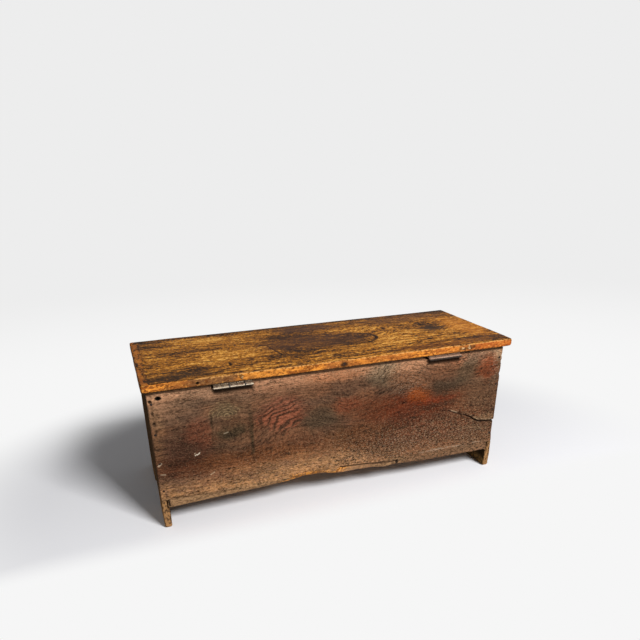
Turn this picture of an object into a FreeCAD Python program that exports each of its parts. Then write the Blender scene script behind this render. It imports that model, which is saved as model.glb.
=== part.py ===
import FreeCAD
import Part
import Sketcher
import math
import os

# Boarded coffer: six planks nailed into a box on slab ends, with a one-plank lid on two butt hinges.
# The front faces -Y, +Z is up, and left and right are as seen from the front, so right is +X.
# The origin is on the floor, under the middle of the whole chest, hinge barrels included.

os.makedirs("parts", exist_ok=True)
doc = FreeCAD.newDocument("Coffer")

# ---------------------------------------------------------------- driving dimensions, in millimetres
SIZES = {
    # the lid plank
    "lid_length": 1080,
    "lid_depth": 408,
    "lid_thickness": 22,
    "lid_corner_round": 8,
    "lid_edge_round": 3.5,
    "lid_overhang_left": 29,
    "lid_overhang_right": 11,
    "lid_overhang_front": 3,
    "lid_overhang_back": 3,
    "lid_seat_gap": 0.3,
    # the carcass planks
    "carcass_height": 397.7,
    "end_thickness": 20,
    "front_thickness": 20,
    "back_thickness": 18,
    "bottom_thickness": 16,
    "bottom_height": 96,
    "housing_depth": 8,
    "board_edge_round": 2,
    # the feet that the end boards form below the front and back boards
    "foot_arch_radius": 75,
    "foot_shoulder_height": 86,
    "foot_notch_height": 57,
    "foot_cheek": 13,
    "foot_slot": 4,
    # lower edges: the front board's is sawn straight, the back board's follows the edge of the tree
    "front_lower_edge": 62,
    "wane_right_height": 60,
    "wane_rise_place": 256,
    "wane_rise_height": 70,
    "arch_flank_place": 166,
    "arch_flank_height": 76,
    "arch_crown_place": 112,
    "arch_crown_height": 82,
    "arch_fall_place": 50,
    "arch_fall_height": 77,
    "arch_toe_place": 11,
    "arch_toe_height": 70,
    "wane_step_place": -85,
    "wane_step_height": 68.5,
    "wane_dip_place": -135,
    "wane_dip_height": 61.5,
    "wane_bump_place": -187,
    "wane_bump_height": 65,
    "wane_run_place": -257,
    "wane_run_height": 59.5,
    "wane_left_height": 58,
    "peg_hole_radius": 3.5,
    "peg_hole_inset": 29,
    "peg_hole_drop": 18,
    # the two butt hinges
    "hinge_inset": 179,
    "hinge_length": 102,
    "knuckle_radius": 4.75,
    "knuckle_gap": 0.3,
    "pin_radius": 2.5,
    "pin_clearance": 0.05,
    "pin_head_radius": 3.6,
    "pin_head_length": 1.6,
    "pin_standoff": 5.5,
    "pin_drop": 8,
    "leaf_thickness": 2.5,
    "leaf_width": 17,
    "leaf_gap": 0.5,
    "leaf_bend_round": 1.5,
    "mortise_play": 0.5,
    # screws of the hinges
    "screw_count": 4,
    "screw_pitch": 26,
    "screw_line": 8.5,
    "screw_radius": 2,
    "screw_head_depth": 1.8,
    "screw_slot_width": 0.9,
    "screw_slot_depth": 0.8,
    "carcass_screw_length": 28,
    "lid_screw_length": 16,
    "drill_clearance": 0.1,
    # forged nails
    "nail_radius": 2,
    "nail_tip_radius": 0.8,
    "nail_head_radius": 3.5,
    "nail_head_height": 1.6,
    "nail_length": 58,
    "wall_nail_count": 4,
    "wall_nail_top": 32,
    "wall_nail_bottom": 30.7,
    "bottom_nail_count": 3,
    "bottom_nail_pitch": 120,
    "lid_nail_place": 2,
    "lid_nail_length": 38,
}
# The fixed leaf has the knuckles at both ends of the barrel, and the leaves take turns between them.
KNUCKLES = 5
LID_KNUCKLES = range(1, KNUCKLES, 2)
FIXED_KNUCKLES = range(0, KNUCKLES, 2)

sheet = doc.addObject("Spreadsheet::Sheet", "Sizes")
for row, (alias, value) in enumerate(SIZES.items(), start=1):
    sheet.set(f"A{row}", alias.replace("_", " "))
    sheet.set(f"B{row}", str(value))
    sheet.setAlias(f"B{row}", alias)
doc.recompute()


def size(name):
    """The expression that reads one cell of the sheet."""
    return f"Sizes.{name}"


# ---------------------------------------------------------------- places shared by several planks
BODY_LENGTH = "(Sizes.lid_length - Sizes.lid_overhang_left - Sizes.lid_overhang_right)"
BODY_DEPTH = "(Sizes.lid_depth - Sizes.lid_overhang_front - Sizes.lid_overhang_back)"
BARREL_REACH = "(Sizes.pin_standoff + Sizes.knuckle_radius - Sizes.lid_overhang_back)"
LID_LEFT = "(-Sizes.lid_length / 2)"
LID_FRONT = f"(-(Sizes.lid_depth + {BARREL_REACH}) / 2)"
BODY_LEFT = f"({LID_LEFT} + Sizes.lid_overhang_left)"
BODY_RIGHT = f"({BODY_LEFT} + {BODY_LENGTH})"
BODY_FRONT = f"({LID_FRONT} + Sizes.lid_overhang_front)"
BODY_BACK = f"({BODY_FRONT} + {BODY_DEPTH})"
BACK_BOARD_FRONT = f"({BODY_BACK} - Sizes.back_thickness)"
LID_UNDERSIDE = "(Sizes.carcass_height + Sizes.lid_seat_gap)"
PIN_BACK = f"({BODY_BACK} + Sizes.pin_standoff)"
PIN_UP = f"({LID_UNDERSIDE} - Sizes.pin_drop)"
FIXED_LEAF_TOP = f"({LID_UNDERSIDE} - Sizes.leaf_thickness - Sizes.leaf_gap)"
MORTISE_FLOOR = f"({FIXED_LEAF_TOP} - Sizes.leaf_thickness)"
HINGE_STARTS = {
    "left": f"({LID_LEFT} + Sizes.hinge_inset)",
    "right": "(Sizes.lid_length / 2 - Sizes.hinge_inset - Sizes.hinge_length)",
}
FIRST_SCREW = "(Sizes.hinge_length - (Sizes.screw_count - 1) * Sizes.screw_pitch) / 2"
SCREW_BACK = f"({BODY_BACK} - Sizes.screw_line)"
DRILL_RADIUS = "Sizes.screw_radius + Sizes.drill_clearance"
NAIL_DRILL_RADIUS = "Sizes.nail_radius + Sizes.drill_clearance"
NAIL_SINK_RADIUS = "Sizes.nail_head_radius + Sizes.drill_clearance"
FOOT_INSET = "(Sizes.foot_cheek + Sizes.foot_slot)"
# a blind hole is this much deeper than what goes in it, and a cut runs this far past a face
BLIND_END = 0.5
CUT_MARGIN = 2.0
# places and volumes nearer than this are the same
NEARLY = 1e-6
FULL_TURN = 360
HALF_TURN = 180
QUARTER_TURN = 90


# ---------------------------------------------------------------- small helpers of the drawing office
def new_body(label, x="0", y="0", z="0", turn=None):
    """An empty body, placed by expressions; turn is an axis and an angle in degrees."""
    body = doc.addObject("PartDesign::Body", label)
    body.Label = label
    body.AllowCompound = True
    if turn:
        body.Placement.Rotation = FreeCAD.Rotation(*turn)
    for axis, expression in zip("xyz", (x, y, z)):
        body.setExpression(f"Placement.Base.{axis}", expression)
    return body


def datum_of(body, role):
    """One of the body's own planes or axes."""
    return next(feature for feature in body.Origin.OriginFeatures if feature.Role == role)


def new_sketch(body, name, role, offset="0"):
    """A sketch on one of the body's own planes; offset moves it along that plane's normal."""
    sketch = body.newObject("Sketcher::SketchObject", name)
    sketch.AttachmentSupport = [(datum_of(body, role), "")]
    sketch.MapMode = "FlatFace"
    sketch.setExpression("AttachmentOffset.Base.z", offset)
    return sketch


def number(expression):
    """The present value of an expression on the sheet."""
    return float(sheet.evalExpression(expression))


def tie_point(sketch, geometry, end, across, up):
    """Holds one point of a sketch at two expressions."""
    for kind, expression in (("DistanceX", across), ("DistanceY", up)):
        tie = sketch.addConstraint(Sketcher.Constraint(kind, -1, 1, geometry, end, number(expression)))
        sketch.setExpression(f"Constraints[{tie}]", expression)


def draw_outline(sketch, corners):
    """A closed outline of straight lines through corners given as pairs of expressions."""
    places = [FreeCAD.Vector(number(across), number(up), 0) for across, up in corners]
    first = sketch.GeometryCount
    count = len(places)
    for i in range(count):
        sketch.addGeometry(Part.LineSegment(places[i], places[(i + 1) % count]), False)
    for i in range(count):
        join = Sketcher.Constraint("Coincident", first + i, 2, first + (i + 1) % count, 1)
        sketch.addConstraint(join)
    for i, (across, up) in enumerate(corners):
        tie_point(sketch, first + i, 1, across, up)


def draw_rectangle(sketch, left, right, low, high):
    draw_outline(sketch, [(left, low), (right, low), (right, high), (left, high)])


def draw_circle(sketch, across, up, radius):
    centre = FreeCAD.Vector(number(across), number(up), 0)
    circle = sketch.addGeometry(Part.Circle(centre, FreeCAD.Vector(0, 0, 1), number(radius)), False)
    tie_point(sketch, circle, 3, across, up)
    tie = sketch.addConstraint(Sketcher.Constraint("Radius", circle, number(radius)))
    sketch.setExpression(f"Constraints[{tie}]", radius)


def pad(body, sketch, length, backwards=False):
    feature = body.newObject("PartDesign::Pad", sketch.Name + "_pad")
    feature.Profile = sketch
    feature.setExpression("Length", length)
    feature.Reversed = backwards
    doc.recompute()
    return feature


def cut(body, sketch, depth=None, backwards=False):
    """A pocket, which must take wood or iron away: with no depth it goes right through both ways."""
    before = body.Shape.Volume
    feature = body.newObject("PartDesign::Pocket", sketch.Name + "_cut")
    feature.Profile = sketch
    if depth is None:
        feature.Type = "ThroughAll"
        feature.Midplane = True
    else:
        feature.setExpression("Length", depth)
        feature.Reversed = backwards
    doc.recompute()
    if not body.Shape.Volume < before - NEARLY:
        raise RuntimeError(f"{sketch.Name} cuts nothing from {body.Label}")
    return feature


def edges_where(shape, test):
    return [f"Edge{i}" for i, edge in enumerate(shape.Edges, start=1) if test(edge)]


def runs_along(edge, axis):
    """True for a straight edge parallel to one of the axes x, y, z."""
    if not isinstance(edge.Curve, Part.Line):
        return False
    return abs(abs(getattr(edge.Curve.Direction, axis)) - 1) < NEARLY


def round_edges(body, name, base, test, radius):
    feature = body.newObject("PartDesign::Fillet", name)
    feature.Base = (base, edges_where(base.Shape, test))
    feature.setExpression("Radius", radius)
    doc.recompute()
    return feature


def pattern(body, features, role, pitch, count, backwards=False):
    """Repeats features along one of the body's own axes."""
    feature = body.newObject("PartDesign::LinearPattern", body.Label + "_pattern")
    feature.Originals = features
    feature.Direction = (datum_of(body, role), [""])
    feature.Reversed = backwards
    feature.Mode = "Spacing"
    feature.setExpression("Offset", pitch)
    feature.setExpression("Occurrences", count)
    body.Tip = feature
    doc.recompute()
    return feature


def screw_holes(body, name, length, left, front, height="0", upwards=False):
    """Pilot holes for both hinges' screws, in a plank whose own corner lies at left and front."""
    sketch = new_sketch(body, name, "XY_Plane", height)
    for start in HINGE_STARTS.values():
        for i in range(round(number(size("screw_count")))):
            across = f"{start} + {FIRST_SCREW} + {i} * Sizes.screw_pitch - {left}"
            draw_circle(sketch, across, f"{SCREW_BACK} - {front}", DRILL_RADIUS)
    cut(body, sketch, f"{length} - Sizes.leaf_thickness + {BLIND_END}", upwards)


# ---------------------------------------------------------------- front and back boards
WALL_NAIL_COLUMNS = ("Sizes.end_thickness / 2", f"{BODY_LENGTH} - Sizes.end_thickness / 2")
# the nails run from below the top edge to above the feet's shoulders, evenly spaced
WALL_NAIL_HIGHEST = "(Sizes.carcass_height - Sizes.wall_nail_top)"
WALL_NAIL_LOWEST = "(Sizes.foot_shoulder_height + Sizes.wall_nail_bottom)"
WALL_NAIL_PITCH = f"(({WALL_NAIL_HIGHEST} - {WALL_NAIL_LOWEST}) / (Sizes.wall_nail_count - 1))"


def wall_nail_height(i):
    return f"{WALL_NAIL_HIGHEST} - {i} * {WALL_NAIL_PITCH}"


def wall_board(label, front, thickness, lower_edge):
    """A long plank that laps over the end boards; lower_edge runs from its right to its left corner."""
    body = new_body(label, BODY_LEFT, front)
    sketch = new_sketch(body, label + "_face", "XZ_Plane")
    corners = [("0", "Sizes.carcass_height"), (BODY_LENGTH, "Sizes.carcass_height")]
    corners += [(BODY_LENGTH, "Sizes.foot_shoulder_height")]
    corners += [(f"{BODY_LENGTH} - {FOOT_INSET}", "Sizes.foot_shoulder_height")]
    corners += lower_edge
    corners += [(FOOT_INSET, "Sizes.foot_shoulder_height"), ("0", "Sizes.foot_shoulder_height")]
    draw_outline(sketch, corners)
    plank = pad(body, sketch, thickness, backwards=True)
    return body, plank


def wall_nail_holes(body, label, outer_plane, forwards):
    """Holes for the nails at both ends, each with a sink for its head in the outer face."""
    sketch = new_sketch(body, label + "_nail_holes", "XZ_Plane")
    sinks = new_sketch(body, label + "_nail_sinks", "XZ_Plane", outer_plane)
    for column in WALL_NAIL_COLUMNS:
        for i in range(round(number(size("wall_nail_count")))):
            draw_circle(sketch, column, wall_nail_height(i), NAIL_DRILL_RADIUS)
            draw_circle(sinks, column, wall_nail_height(i), NAIL_SINK_RADIUS)
    cut(body, sketch)
    cut(body, sinks, size("nail_head_height"), backwards=forwards)


def build_front_board():
    low = size("front_lower_edge")
    lower_edge = [(f"{BODY_LENGTH} - {FOOT_INSET}", low), (FOOT_INSET, low)]
    body, plank = wall_board("front_board", BODY_FRONT, size("front_thickness"), lower_edge)
    low_edge = number(low)

    def lower_arris(edge):
        places = [vertex.Point for vertex in edge.Vertexes]
        return all(abs(place.y) + abs(place.z - low_edge) < NEARLY for place in places)
    round_edges(body, "front_lower_arris", plank, lower_arris, size("board_edge_round"))
    wall_nail_holes(body, "front_board", "0", forwards=False)
    return body


WANE = ("wane_rise", "arch_flank", "arch_crown", "arch_fall", "arch_toe")
WANE += ("wane_step", "wane_dip", "wane_bump", "wane_run")


def build_back_board():
    middle = "(Sizes.lid_length / 2 - Sizes.lid_overhang_left)"
    lower_edge = [(f"{BODY_LENGTH} - {FOOT_INSET}", "Sizes.wane_right_height")]
    for point in WANE:
        lower_edge.append((f"{middle} + Sizes.{point}_place", f"Sizes.{point}_height"))
    lower_edge.append((FOOT_INSET, "Sizes.wane_left_height"))
    body, plank = wall_board("back_board", BACK_BOARD_FRONT, size("back_thickness"), lower_edge)

    mortises = new_sketch(body, "hinge_mortises", "XZ_Plane")
    for start in HINGE_STARTS.values():
        left = f"{start} - {BODY_LEFT} - Sizes.mortise_play"
        right = f"{start} - {BODY_LEFT} + Sizes.hinge_length + Sizes.mortise_play"
        draw_rectangle(mortises, left, right, MORTISE_FLOOR, f"Sizes.carcass_height + {CUT_MARGIN}")
    cut(body, mortises)
    screw_holes(body, "hinge_screw_holes", size("carcass_screw_length"), BODY_LEFT, BACK_BOARD_FRONT,
                MORTISE_FLOOR)
    wall_nail_holes(body, "back_board", "-Sizes.back_thickness", forwards=True)
    peg = new_sketch(body, "peg_hole", "XZ_Plane")
    draw_circle(peg, f"{BODY_LENGTH} - Sizes.peg_hole_inset",
                "Sizes.carcass_height - Sizes.peg_hole_drop", size("peg_hole_radius"))
    cut(body, peg)
    return body


# ---------------------------------------------------------------- end boards, which reach the floor
BOTTOM_MIDDLE = "(Sizes.bottom_height + Sizes.bottom_thickness / 2)"


def bottom_nail_place(i):
    """How far a nail of the bottom board lies from the carcass's front face."""
    return f"{BODY_DEPTH} / 2 + ({i} - (Sizes.bottom_nail_count - 1) / 2) * Sizes.bottom_nail_pitch"


def build_end_board(side):
    """One slab end: rebated for the front and back boards, with a round arch between its feet."""
    label = f"end_board_{side}"
    left = BODY_LEFT if side == "left" else f"({BODY_RIGHT} - Sizes.end_thickness)"
    body = new_body(label, left, BODY_FRONT)
    slab = new_sketch(body, label + "_slab", "YZ_Plane")
    draw_rectangle(slab, "0", BODY_DEPTH, "0", size("carcass_height"))
    pad(body, slab, size("end_thickness"))

    rebates = new_sketch(body, label + "_rebates", "YZ_Plane")
    above = f"Sizes.carcass_height + {CUT_MARGIN}"
    beyond = f"{BODY_DEPTH} + {CUT_MARGIN}"
    back = f"{BODY_DEPTH} - Sizes.back_thickness"
    draw_rectangle(rebates, f"-{CUT_MARGIN}", size("front_thickness"), size("foot_shoulder_height"), above)
    draw_rectangle(rebates, back, beyond, size("foot_shoulder_height"), above)
    cut(body, rebates)

    # the inner corner of each foot is notched lower, for the tails of the front and back boards
    start = size("foot_cheek") if side == "left" else "0"
    notches = new_sketch(body, label + "_notches", "YZ_Plane", start)
    notch_top = f"Sizes.foot_shoulder_height + {CUT_MARGIN}"
    draw_rectangle(notches, f"-{CUT_MARGIN}", size("front_thickness"), size("foot_notch_height"), notch_top)
    draw_rectangle(notches, back, beyond, size("foot_notch_height"), notch_top)
    cut(body, notches, "Sizes.end_thickness - Sizes.foot_cheek", backwards=True)

    arch = new_sketch(body, label + "_arch", "YZ_Plane")
    draw_circle(arch, f"{BODY_DEPTH} / 2", "0", size("foot_arch_radius"))
    cut(body, arch)

    start = "Sizes.end_thickness - Sizes.housing_depth" if side == "left" else "0"
    housing = new_sketch(body, label + "_housing", "YZ_Plane", start)
    draw_rectangle(housing, size("front_thickness"), back, size("bottom_height"),
                   "Sizes.bottom_height + Sizes.bottom_thickness")
    cut(body, housing, size("housing_depth"), backwards=True)

    # nail holes: into the front and back edges, and across for the bottom board
    depth = f"Sizes.nail_length + {BLIND_END}"
    for face, plane, backwards in (("front", "0", False), ("back", f"-{BODY_DEPTH}", True)):
        holes = new_sketch(body, f"{label}_{face}_holes", "XZ_Plane", plane)
        for i in range(round(number(size("wall_nail_count")))):
            draw_circle(holes, "Sizes.end_thickness / 2", wall_nail_height(i), NAIL_DRILL_RADIUS)
        cut(body, holes, depth, backwards)
    outer = "0" if side == "left" else size("end_thickness")
    holes = new_sketch(body, f"{label}_bottom_holes", "YZ_Plane")
    sinks = new_sketch(body, f"{label}_bottom_sinks", "YZ_Plane", outer)
    for i in range(round(number(size("bottom_nail_count")))):
        draw_circle(holes, bottom_nail_place(i), BOTTOM_MIDDLE, NAIL_DRILL_RADIUS)
        draw_circle(sinks, bottom_nail_place(i), BOTTOM_MIDDLE, NAIL_SINK_RADIUS)
    cut(body, holes)
    cut(body, sinks, size("nail_head_height"), backwards=side == "left")
    return body


# ---------------------------------------------------------------- bottom board
def build_bottom_board():
    """Lies in housings in the end boards, butted between the front and back boards."""
    left = f"({BODY_LEFT} + Sizes.end_thickness - Sizes.housing_depth)"
    length = f"({BODY_LENGTH} - 2 * Sizes.end_thickness + 2 * Sizes.housing_depth)"
    depth = f"({BODY_DEPTH} - Sizes.front_thickness - Sizes.back_thickness)"
    body = new_body("bottom_board", left, f"({BODY_FRONT} + Sizes.front_thickness)", size("bottom_height"))
    sketch = new_sketch(body, "bottom_plan", "XY_Plane")
    draw_rectangle(sketch, "0", length, "0", depth)
    pad(body, sketch, size("bottom_thickness"))
    in_wood = f"Sizes.nail_length - (Sizes.end_thickness - Sizes.housing_depth) + {BLIND_END}"
    for side, plane, backwards in (("left", "0", True), ("right", length, False)):
        holes = new_sketch(body, f"bottom_holes_{side}", "YZ_Plane", plane)
        for i in range(round(number(size("bottom_nail_count")))):
            place = f"{bottom_nail_place(i)} - Sizes.front_thickness"
            draw_circle(holes, place, "Sizes.bottom_thickness / 2", NAIL_DRILL_RADIUS)
        cut(body, holes, in_wood, backwards)
    return body


# ---------------------------------------------------------------- lid
def build_lid():
    """One plank with worn, rounded edges, screwed to the moving leaves."""
    body = new_body("lid_board", LID_LEFT, LID_FRONT, LID_UNDERSIDE)
    sketch = new_sketch(body, "lid_plan", "XY_Plane")
    draw_rectangle(sketch, "0", size("lid_length"), "0", size("lid_depth"))
    plank = pad(body, sketch, size("lid_thickness"))
    corners = round_edges(body, "lid_corners", plank, lambda edge: runs_along(edge, "z"),
                          size("lid_corner_round"))

    def rim(edge):
        return all(abs(vertex.Point.z - edge.Vertexes[0].Point.z) < NEARLY for vertex in edge.Vertexes)
    round_edges(body, "lid_edges", corners, rim, size("lid_edge_round"))

    screw_holes(body, "lid_screw_holes", size("lid_screw_length"), LID_LEFT, LID_FRONT, upwards=True)

    nail = ("Sizes.lid_length / 2 + Sizes.lid_nail_place", "Sizes.lid_thickness / 2")
    for name, radius, depth in (
        ("lid_nail_hole", NAIL_DRILL_RADIUS, f"Sizes.lid_nail_length + {BLIND_END}"),
        ("lid_nail_sink", NAIL_SINK_RADIUS, size("nail_head_height")),
    ):
        hole = new_sketch(body, name, "XZ_Plane", "-Sizes.lid_depth")
        draw_circle(hole, *nail, radius)
        cut(body, hole, depth, backwards=True)
    return body


# ---------------------------------------------------------------- hinges
KNUCKLE_PITCH = f"Sizes.hinge_length / {KNUCKLES}"


def build_leaf(side, which):
    """One leaf: a plate in the mortise, turned down behind the back board and round the pin."""
    label = f"hinge_{side}_{which}_leaf"
    top = "Sizes.pin_drop"
    given_up = FIXED_KNUCKLES
    if which == "fixed":
        top = "(Sizes.pin_drop - Sizes.leaf_thickness - Sizes.leaf_gap)"
        given_up = LID_KNUCKLES
    body = new_body(label, HINGE_STARTS[side], PIN_BACK, PIN_UP)
    radius = "Sizes.knuckle_radius"
    thick = "Sizes.leaf_thickness"
    inner_end = "-(Sizes.pin_standoff + Sizes.leaf_width)"
    profile = new_sketch(body, label + "_profile", "YZ_Plane")
    draw_outline(profile, [
        (f"-{radius}", "0"),
        (f"-{radius}", f"{top} - {thick}"),
        (inner_end, f"{top} - {thick}"),
        (inner_end, top),
        (f"-{radius} + {thick}", top),
        (f"-{radius} + {thick}", "0"),
    ])
    strip = pad(body, profile, size("hinge_length"))
    bend_back = number(f"-{radius} + {thick}")
    bend_top = number(top)

    def bend(edge):
        start = edge.Vertexes[0].Point
        at_bend = abs(start.y - bend_back) + abs(start.z - bend_top) < NEARLY
        return at_bend and runs_along(edge, "x")
    round_edges(body, label + "_bend", strip, bend, size("leaf_bend_round"))
    roll = new_sketch(body, label + "_roll", "YZ_Plane")
    draw_circle(roll, "0", "0", radius)
    pad(body, roll, size("hinge_length"))
    bore = new_sketch(body, label + "_bore", "YZ_Plane")
    draw_circle(bore, "0", "0", "Sizes.pin_radius + Sizes.pin_clearance")
    cut(body, bore)

    # the places of the other leaf's knuckles, with the play between knuckles on each side
    gaps = new_sketch(body, label + "_knuckle_gaps", "XY_Plane")
    for i in given_up:
        left = f"{i} * {KNUCKLE_PITCH} - Sizes.knuckle_gap / 2"
        right = f"{i + 1} * {KNUCKLE_PITCH} + Sizes.knuckle_gap / 2"
        if i == 0:
            left = f"-{CUT_MARGIN}"
        if i == KNUCKLES - 1:
            right = f"Sizes.hinge_length + {CUT_MARGIN}"
        draw_rectangle(gaps, left, right, f"-({radius} + Sizes.leaf_gap)", f"{radius} + {CUT_MARGIN}")
    cut(body, gaps)

    holes = new_sketch(body, label + "_screw_holes", "XY_Plane")
    for i in range(round(number(size("screw_count")))):
        across = f"{FIRST_SCREW} + {i} * Sizes.screw_pitch"
        draw_circle(holes, across, "-(Sizes.pin_standoff + Sizes.screw_line)", DRILL_RADIUS)
    drilled = cut(body, holes)
    face = number(top) if which == "fixed" else number(f"{top} - {thick}")
    inner = number("-Sizes.pin_standoff")

    def mouth(edge):
        round_edge = isinstance(edge.Curve, Part.Circle) and edge.Curve.Center.y < inner
        return round_edge and abs(edge.Curve.Center.z - face) < NEARLY
    sink = body.newObject("PartDesign::Chamfer", label + "_countersinks")
    sink.Base = (drilled, edges_where(drilled.Shape, mouth))
    sink.setExpression("Size", size("screw_head_depth"))
    doc.recompute()
    return body


def build_pin(side):
    """The pin, with both ends peened over the outer knuckles."""
    label = f"hinge_{side}_pin"
    body = new_body(label, HINGE_STARTS[side], PIN_BACK, PIN_UP)
    radius = "Sizes.pin_radius"
    head = "Sizes.pin_head_radius"
    near = "-(Sizes.knuckle_gap / 2)"
    far = "(Sizes.hinge_length + Sizes.knuckle_gap / 2)"
    length = "Sizes.pin_head_length"
    profile = new_sketch(body, label + "_profile", "XZ_Plane")
    draw_outline(profile, [
        (f"{near} - {length}", "0"),
        (f"{near} - {length}", radius),
        (f"{near} - {length} / 2", head),
        (near, head),
        (near, radius),
        (far, radius),
        (far, head),
        (f"{far} + {length} / 2", head),
        (f"{far} + {length}", radius),
        (f"{far} + {length}", "0"),
    ])
    turned = body.newObject("PartDesign::Revolution", label + "_turned")
    turned.Profile = profile
    turned.ReferenceAxis = (datum_of(body, "X_Axis"), [""])
    turned.Angle = FULL_TURN
    doc.recompute()
    return body


# ---------------------------------------------------------------- screws and nails
def turn_profile(body, corners):
    """A solid of revolution round the body's own Z axis; its head's top is at z = 0."""
    profile = new_sketch(body, body.Label + "_profile", "XZ_Plane")
    draw_outline(profile, corners)
    turned = body.newObject("PartDesign::Revolution", body.Label + "_turned")
    turned.Profile = profile
    turned.ReferenceAxis = (datum_of(body, "Z_Axis"), [""])
    turned.Angle = FULL_TURN
    doc.recompute()
    return turned


def build_screws(side, which):
    """The slotted, countersunk screws of one leaf."""
    label = f"hinge_{side}_{which}_screws"
    first = f"{HINGE_STARTS[side]} + {FIRST_SCREW}"
    length, height, turn = size("carcass_screw_length"), FIXED_LEAF_TOP, None
    if which == "lid":
        length, height = size("lid_screw_length"), f"{LID_UNDERSIDE} - Sizes.leaf_thickness"
        turn = (FreeCAD.Vector(1, 0, 0), HALF_TURN)
    body = new_body(label, first, SCREW_BACK, height, turn)
    head_radius = "Sizes.screw_radius + Sizes.screw_head_depth"
    shank = turn_profile(body, [
        ("0", "0"),
        (head_radius, "0"),
        (size("screw_radius"), "-Sizes.screw_head_depth"),
        (size("screw_radius"), f"-{length} + 2 * Sizes.screw_radius"),
        ("0", f"-{length}"),
    ])
    slot = new_sketch(body, label + "_slot", "XY_Plane")
    reach = f"{head_radius} + {CUT_MARGIN}"
    half = "Sizes.screw_slot_width / 2"
    draw_rectangle(slot, f"-({reach})", reach, f"-{half}", half)
    driven = cut(body, slot, size("screw_slot_depth"))
    pattern(body, [shank, driven], "X_Axis", size("screw_pitch"), size("screw_count"))
    return body


def build_nails(label, length, place, turn, pitch=None, count=None, backwards=False):
    """A row of forged nails with small flush heads, spaced along the body's own Y axis."""
    body = new_body(label, *place, turn)
    nail = turn_profile(body, [
        ("0", "0"),
        (size("nail_head_radius"), "0"),
        (size("nail_head_radius"), "-Sizes.nail_head_height"),
        (size("nail_radius"), "-Sizes.nail_head_height"),
        (size("nail_tip_radius"), f"-{length}"),
        ("0", f"-{length}"),
    ])
    if pitch:
        pattern(body, [nail], "Y_Axis", pitch, count, backwards)
    return body


def build_all_nails():
    """Wall nails from the top down, bottom nails from the front back, and the nail in the lid's edge."""
    across = FreeCAD.Vector(1, 0, 0)
    deep = FreeCAD.Vector(0, 1, 0)
    columns = {
        "left": f"{BODY_LEFT} + Sizes.end_thickness / 2",
        "right": f"{BODY_RIGHT} - Sizes.end_thickness / 2",
    }
    walls = {"front": (BODY_FRONT, QUARTER_TURN, True), "back": (BODY_BACK, -QUARTER_TURN, False)}
    length = size("nail_length")
    made = []
    for wall, (face, angle, backwards) in walls.items():
        for side, column in columns.items():
            made.append(build_nails(f"{wall}_nails_{side}", length, (column, face, wall_nail_height(0)),
                                    (across, angle), WALL_NAIL_PITCH, size("wall_nail_count"),
                                    backwards))
    first = f"{BODY_FRONT} + {bottom_nail_place(0)}"
    for side, face, angle in (("left", BODY_LEFT, -QUARTER_TURN), ("right", BODY_RIGHT, QUARTER_TURN)):
        made.append(build_nails(f"bottom_nails_{side}", length, (face, first, BOTTOM_MIDDLE),
                                (deep, angle), size("bottom_nail_pitch"), size("bottom_nail_count")))
    edge = (size("lid_nail_place"), f"{LID_FRONT} + Sizes.lid_depth",
            f"{LID_UNDERSIDE} + Sizes.lid_thickness / 2")
    made.append(build_nails("lid_edge_nail", size("lid_nail_length"), edge, (across, -QUARTER_TURN)))
    return made


# ---------------------------------------------------------------- build, check and write
pieces = [build_lid(), build_front_board(), build_back_board()]
pieces += [build_end_board(side) for side in HINGE_STARTS]
pieces.append(build_bottom_board())
for side in HINGE_STARTS:
    pieces += [build_leaf(side, which) for which in ("fixed", "lid")]
    pieces.append(build_pin(side))
    pieces += [build_screws(side, which) for which in ("fixed", "lid")]
pieces += build_all_nails()
doc.recompute()

for thing in doc.Objects:
    if "Invalid" in thing.State or "Error" in thing.State:
        raise RuntimeError(f"{thing.Name} failed: {thing.State}")
for piece in pieces:
    shape = piece.Shape
    if shape.isNull() or not shape.isValid() or not shape.Solids:
        raise RuntimeError(f"{piece.Label} has no sound shape")
    print(f"{piece.Label:26s} {len(shape.Solids):2d} solids  {shape.Volume / 1000:9.2f} cm3")
for piece in pieces:
    piece.Shape.exportStep(f"parts/{piece.Label}.step")

whole = Part.makeCompound([piece.Shape for piece in pieces]).optimalBoundingBox()
print(f"overall {whole.XLength:.1f} x {whole.YLength:.1f} x {whole.ZLength:.1f} mm")
print(f"from {whole.XMin:.2f} {whole.YMin:.2f} {whole.ZMin:.2f}")
drop = number(size("pin_drop")) + number(size("lid_thickness"))
reach = number("Sizes.lid_overhang_back - Sizes.pin_standoff")
back_angle = math.degrees(math.atan2(drop, reach)) + math.degrees(
    math.acos(number("-Sizes.pin_standoff") / math.hypot(drop, reach)))
print(f"the lid's top back arris would meet the back board at {back_angle:.0f} degrees")
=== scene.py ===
# %% [markdown]
# # A boarded coffer
# This lesson dresses an old oak chest of six planks. Two slab ends reach the floor as feet, four
# long planks are nailed to them, and a one-plank lid turns on two iron butt hinges. The sizes are
# settled already: they come as a fixed frame of solids, and every piece made here stays inside it.

# %% Load the fixed frame
import itertools
import math

import bpy
import numpy as np
from mathutils import Matrix, Vector


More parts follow.
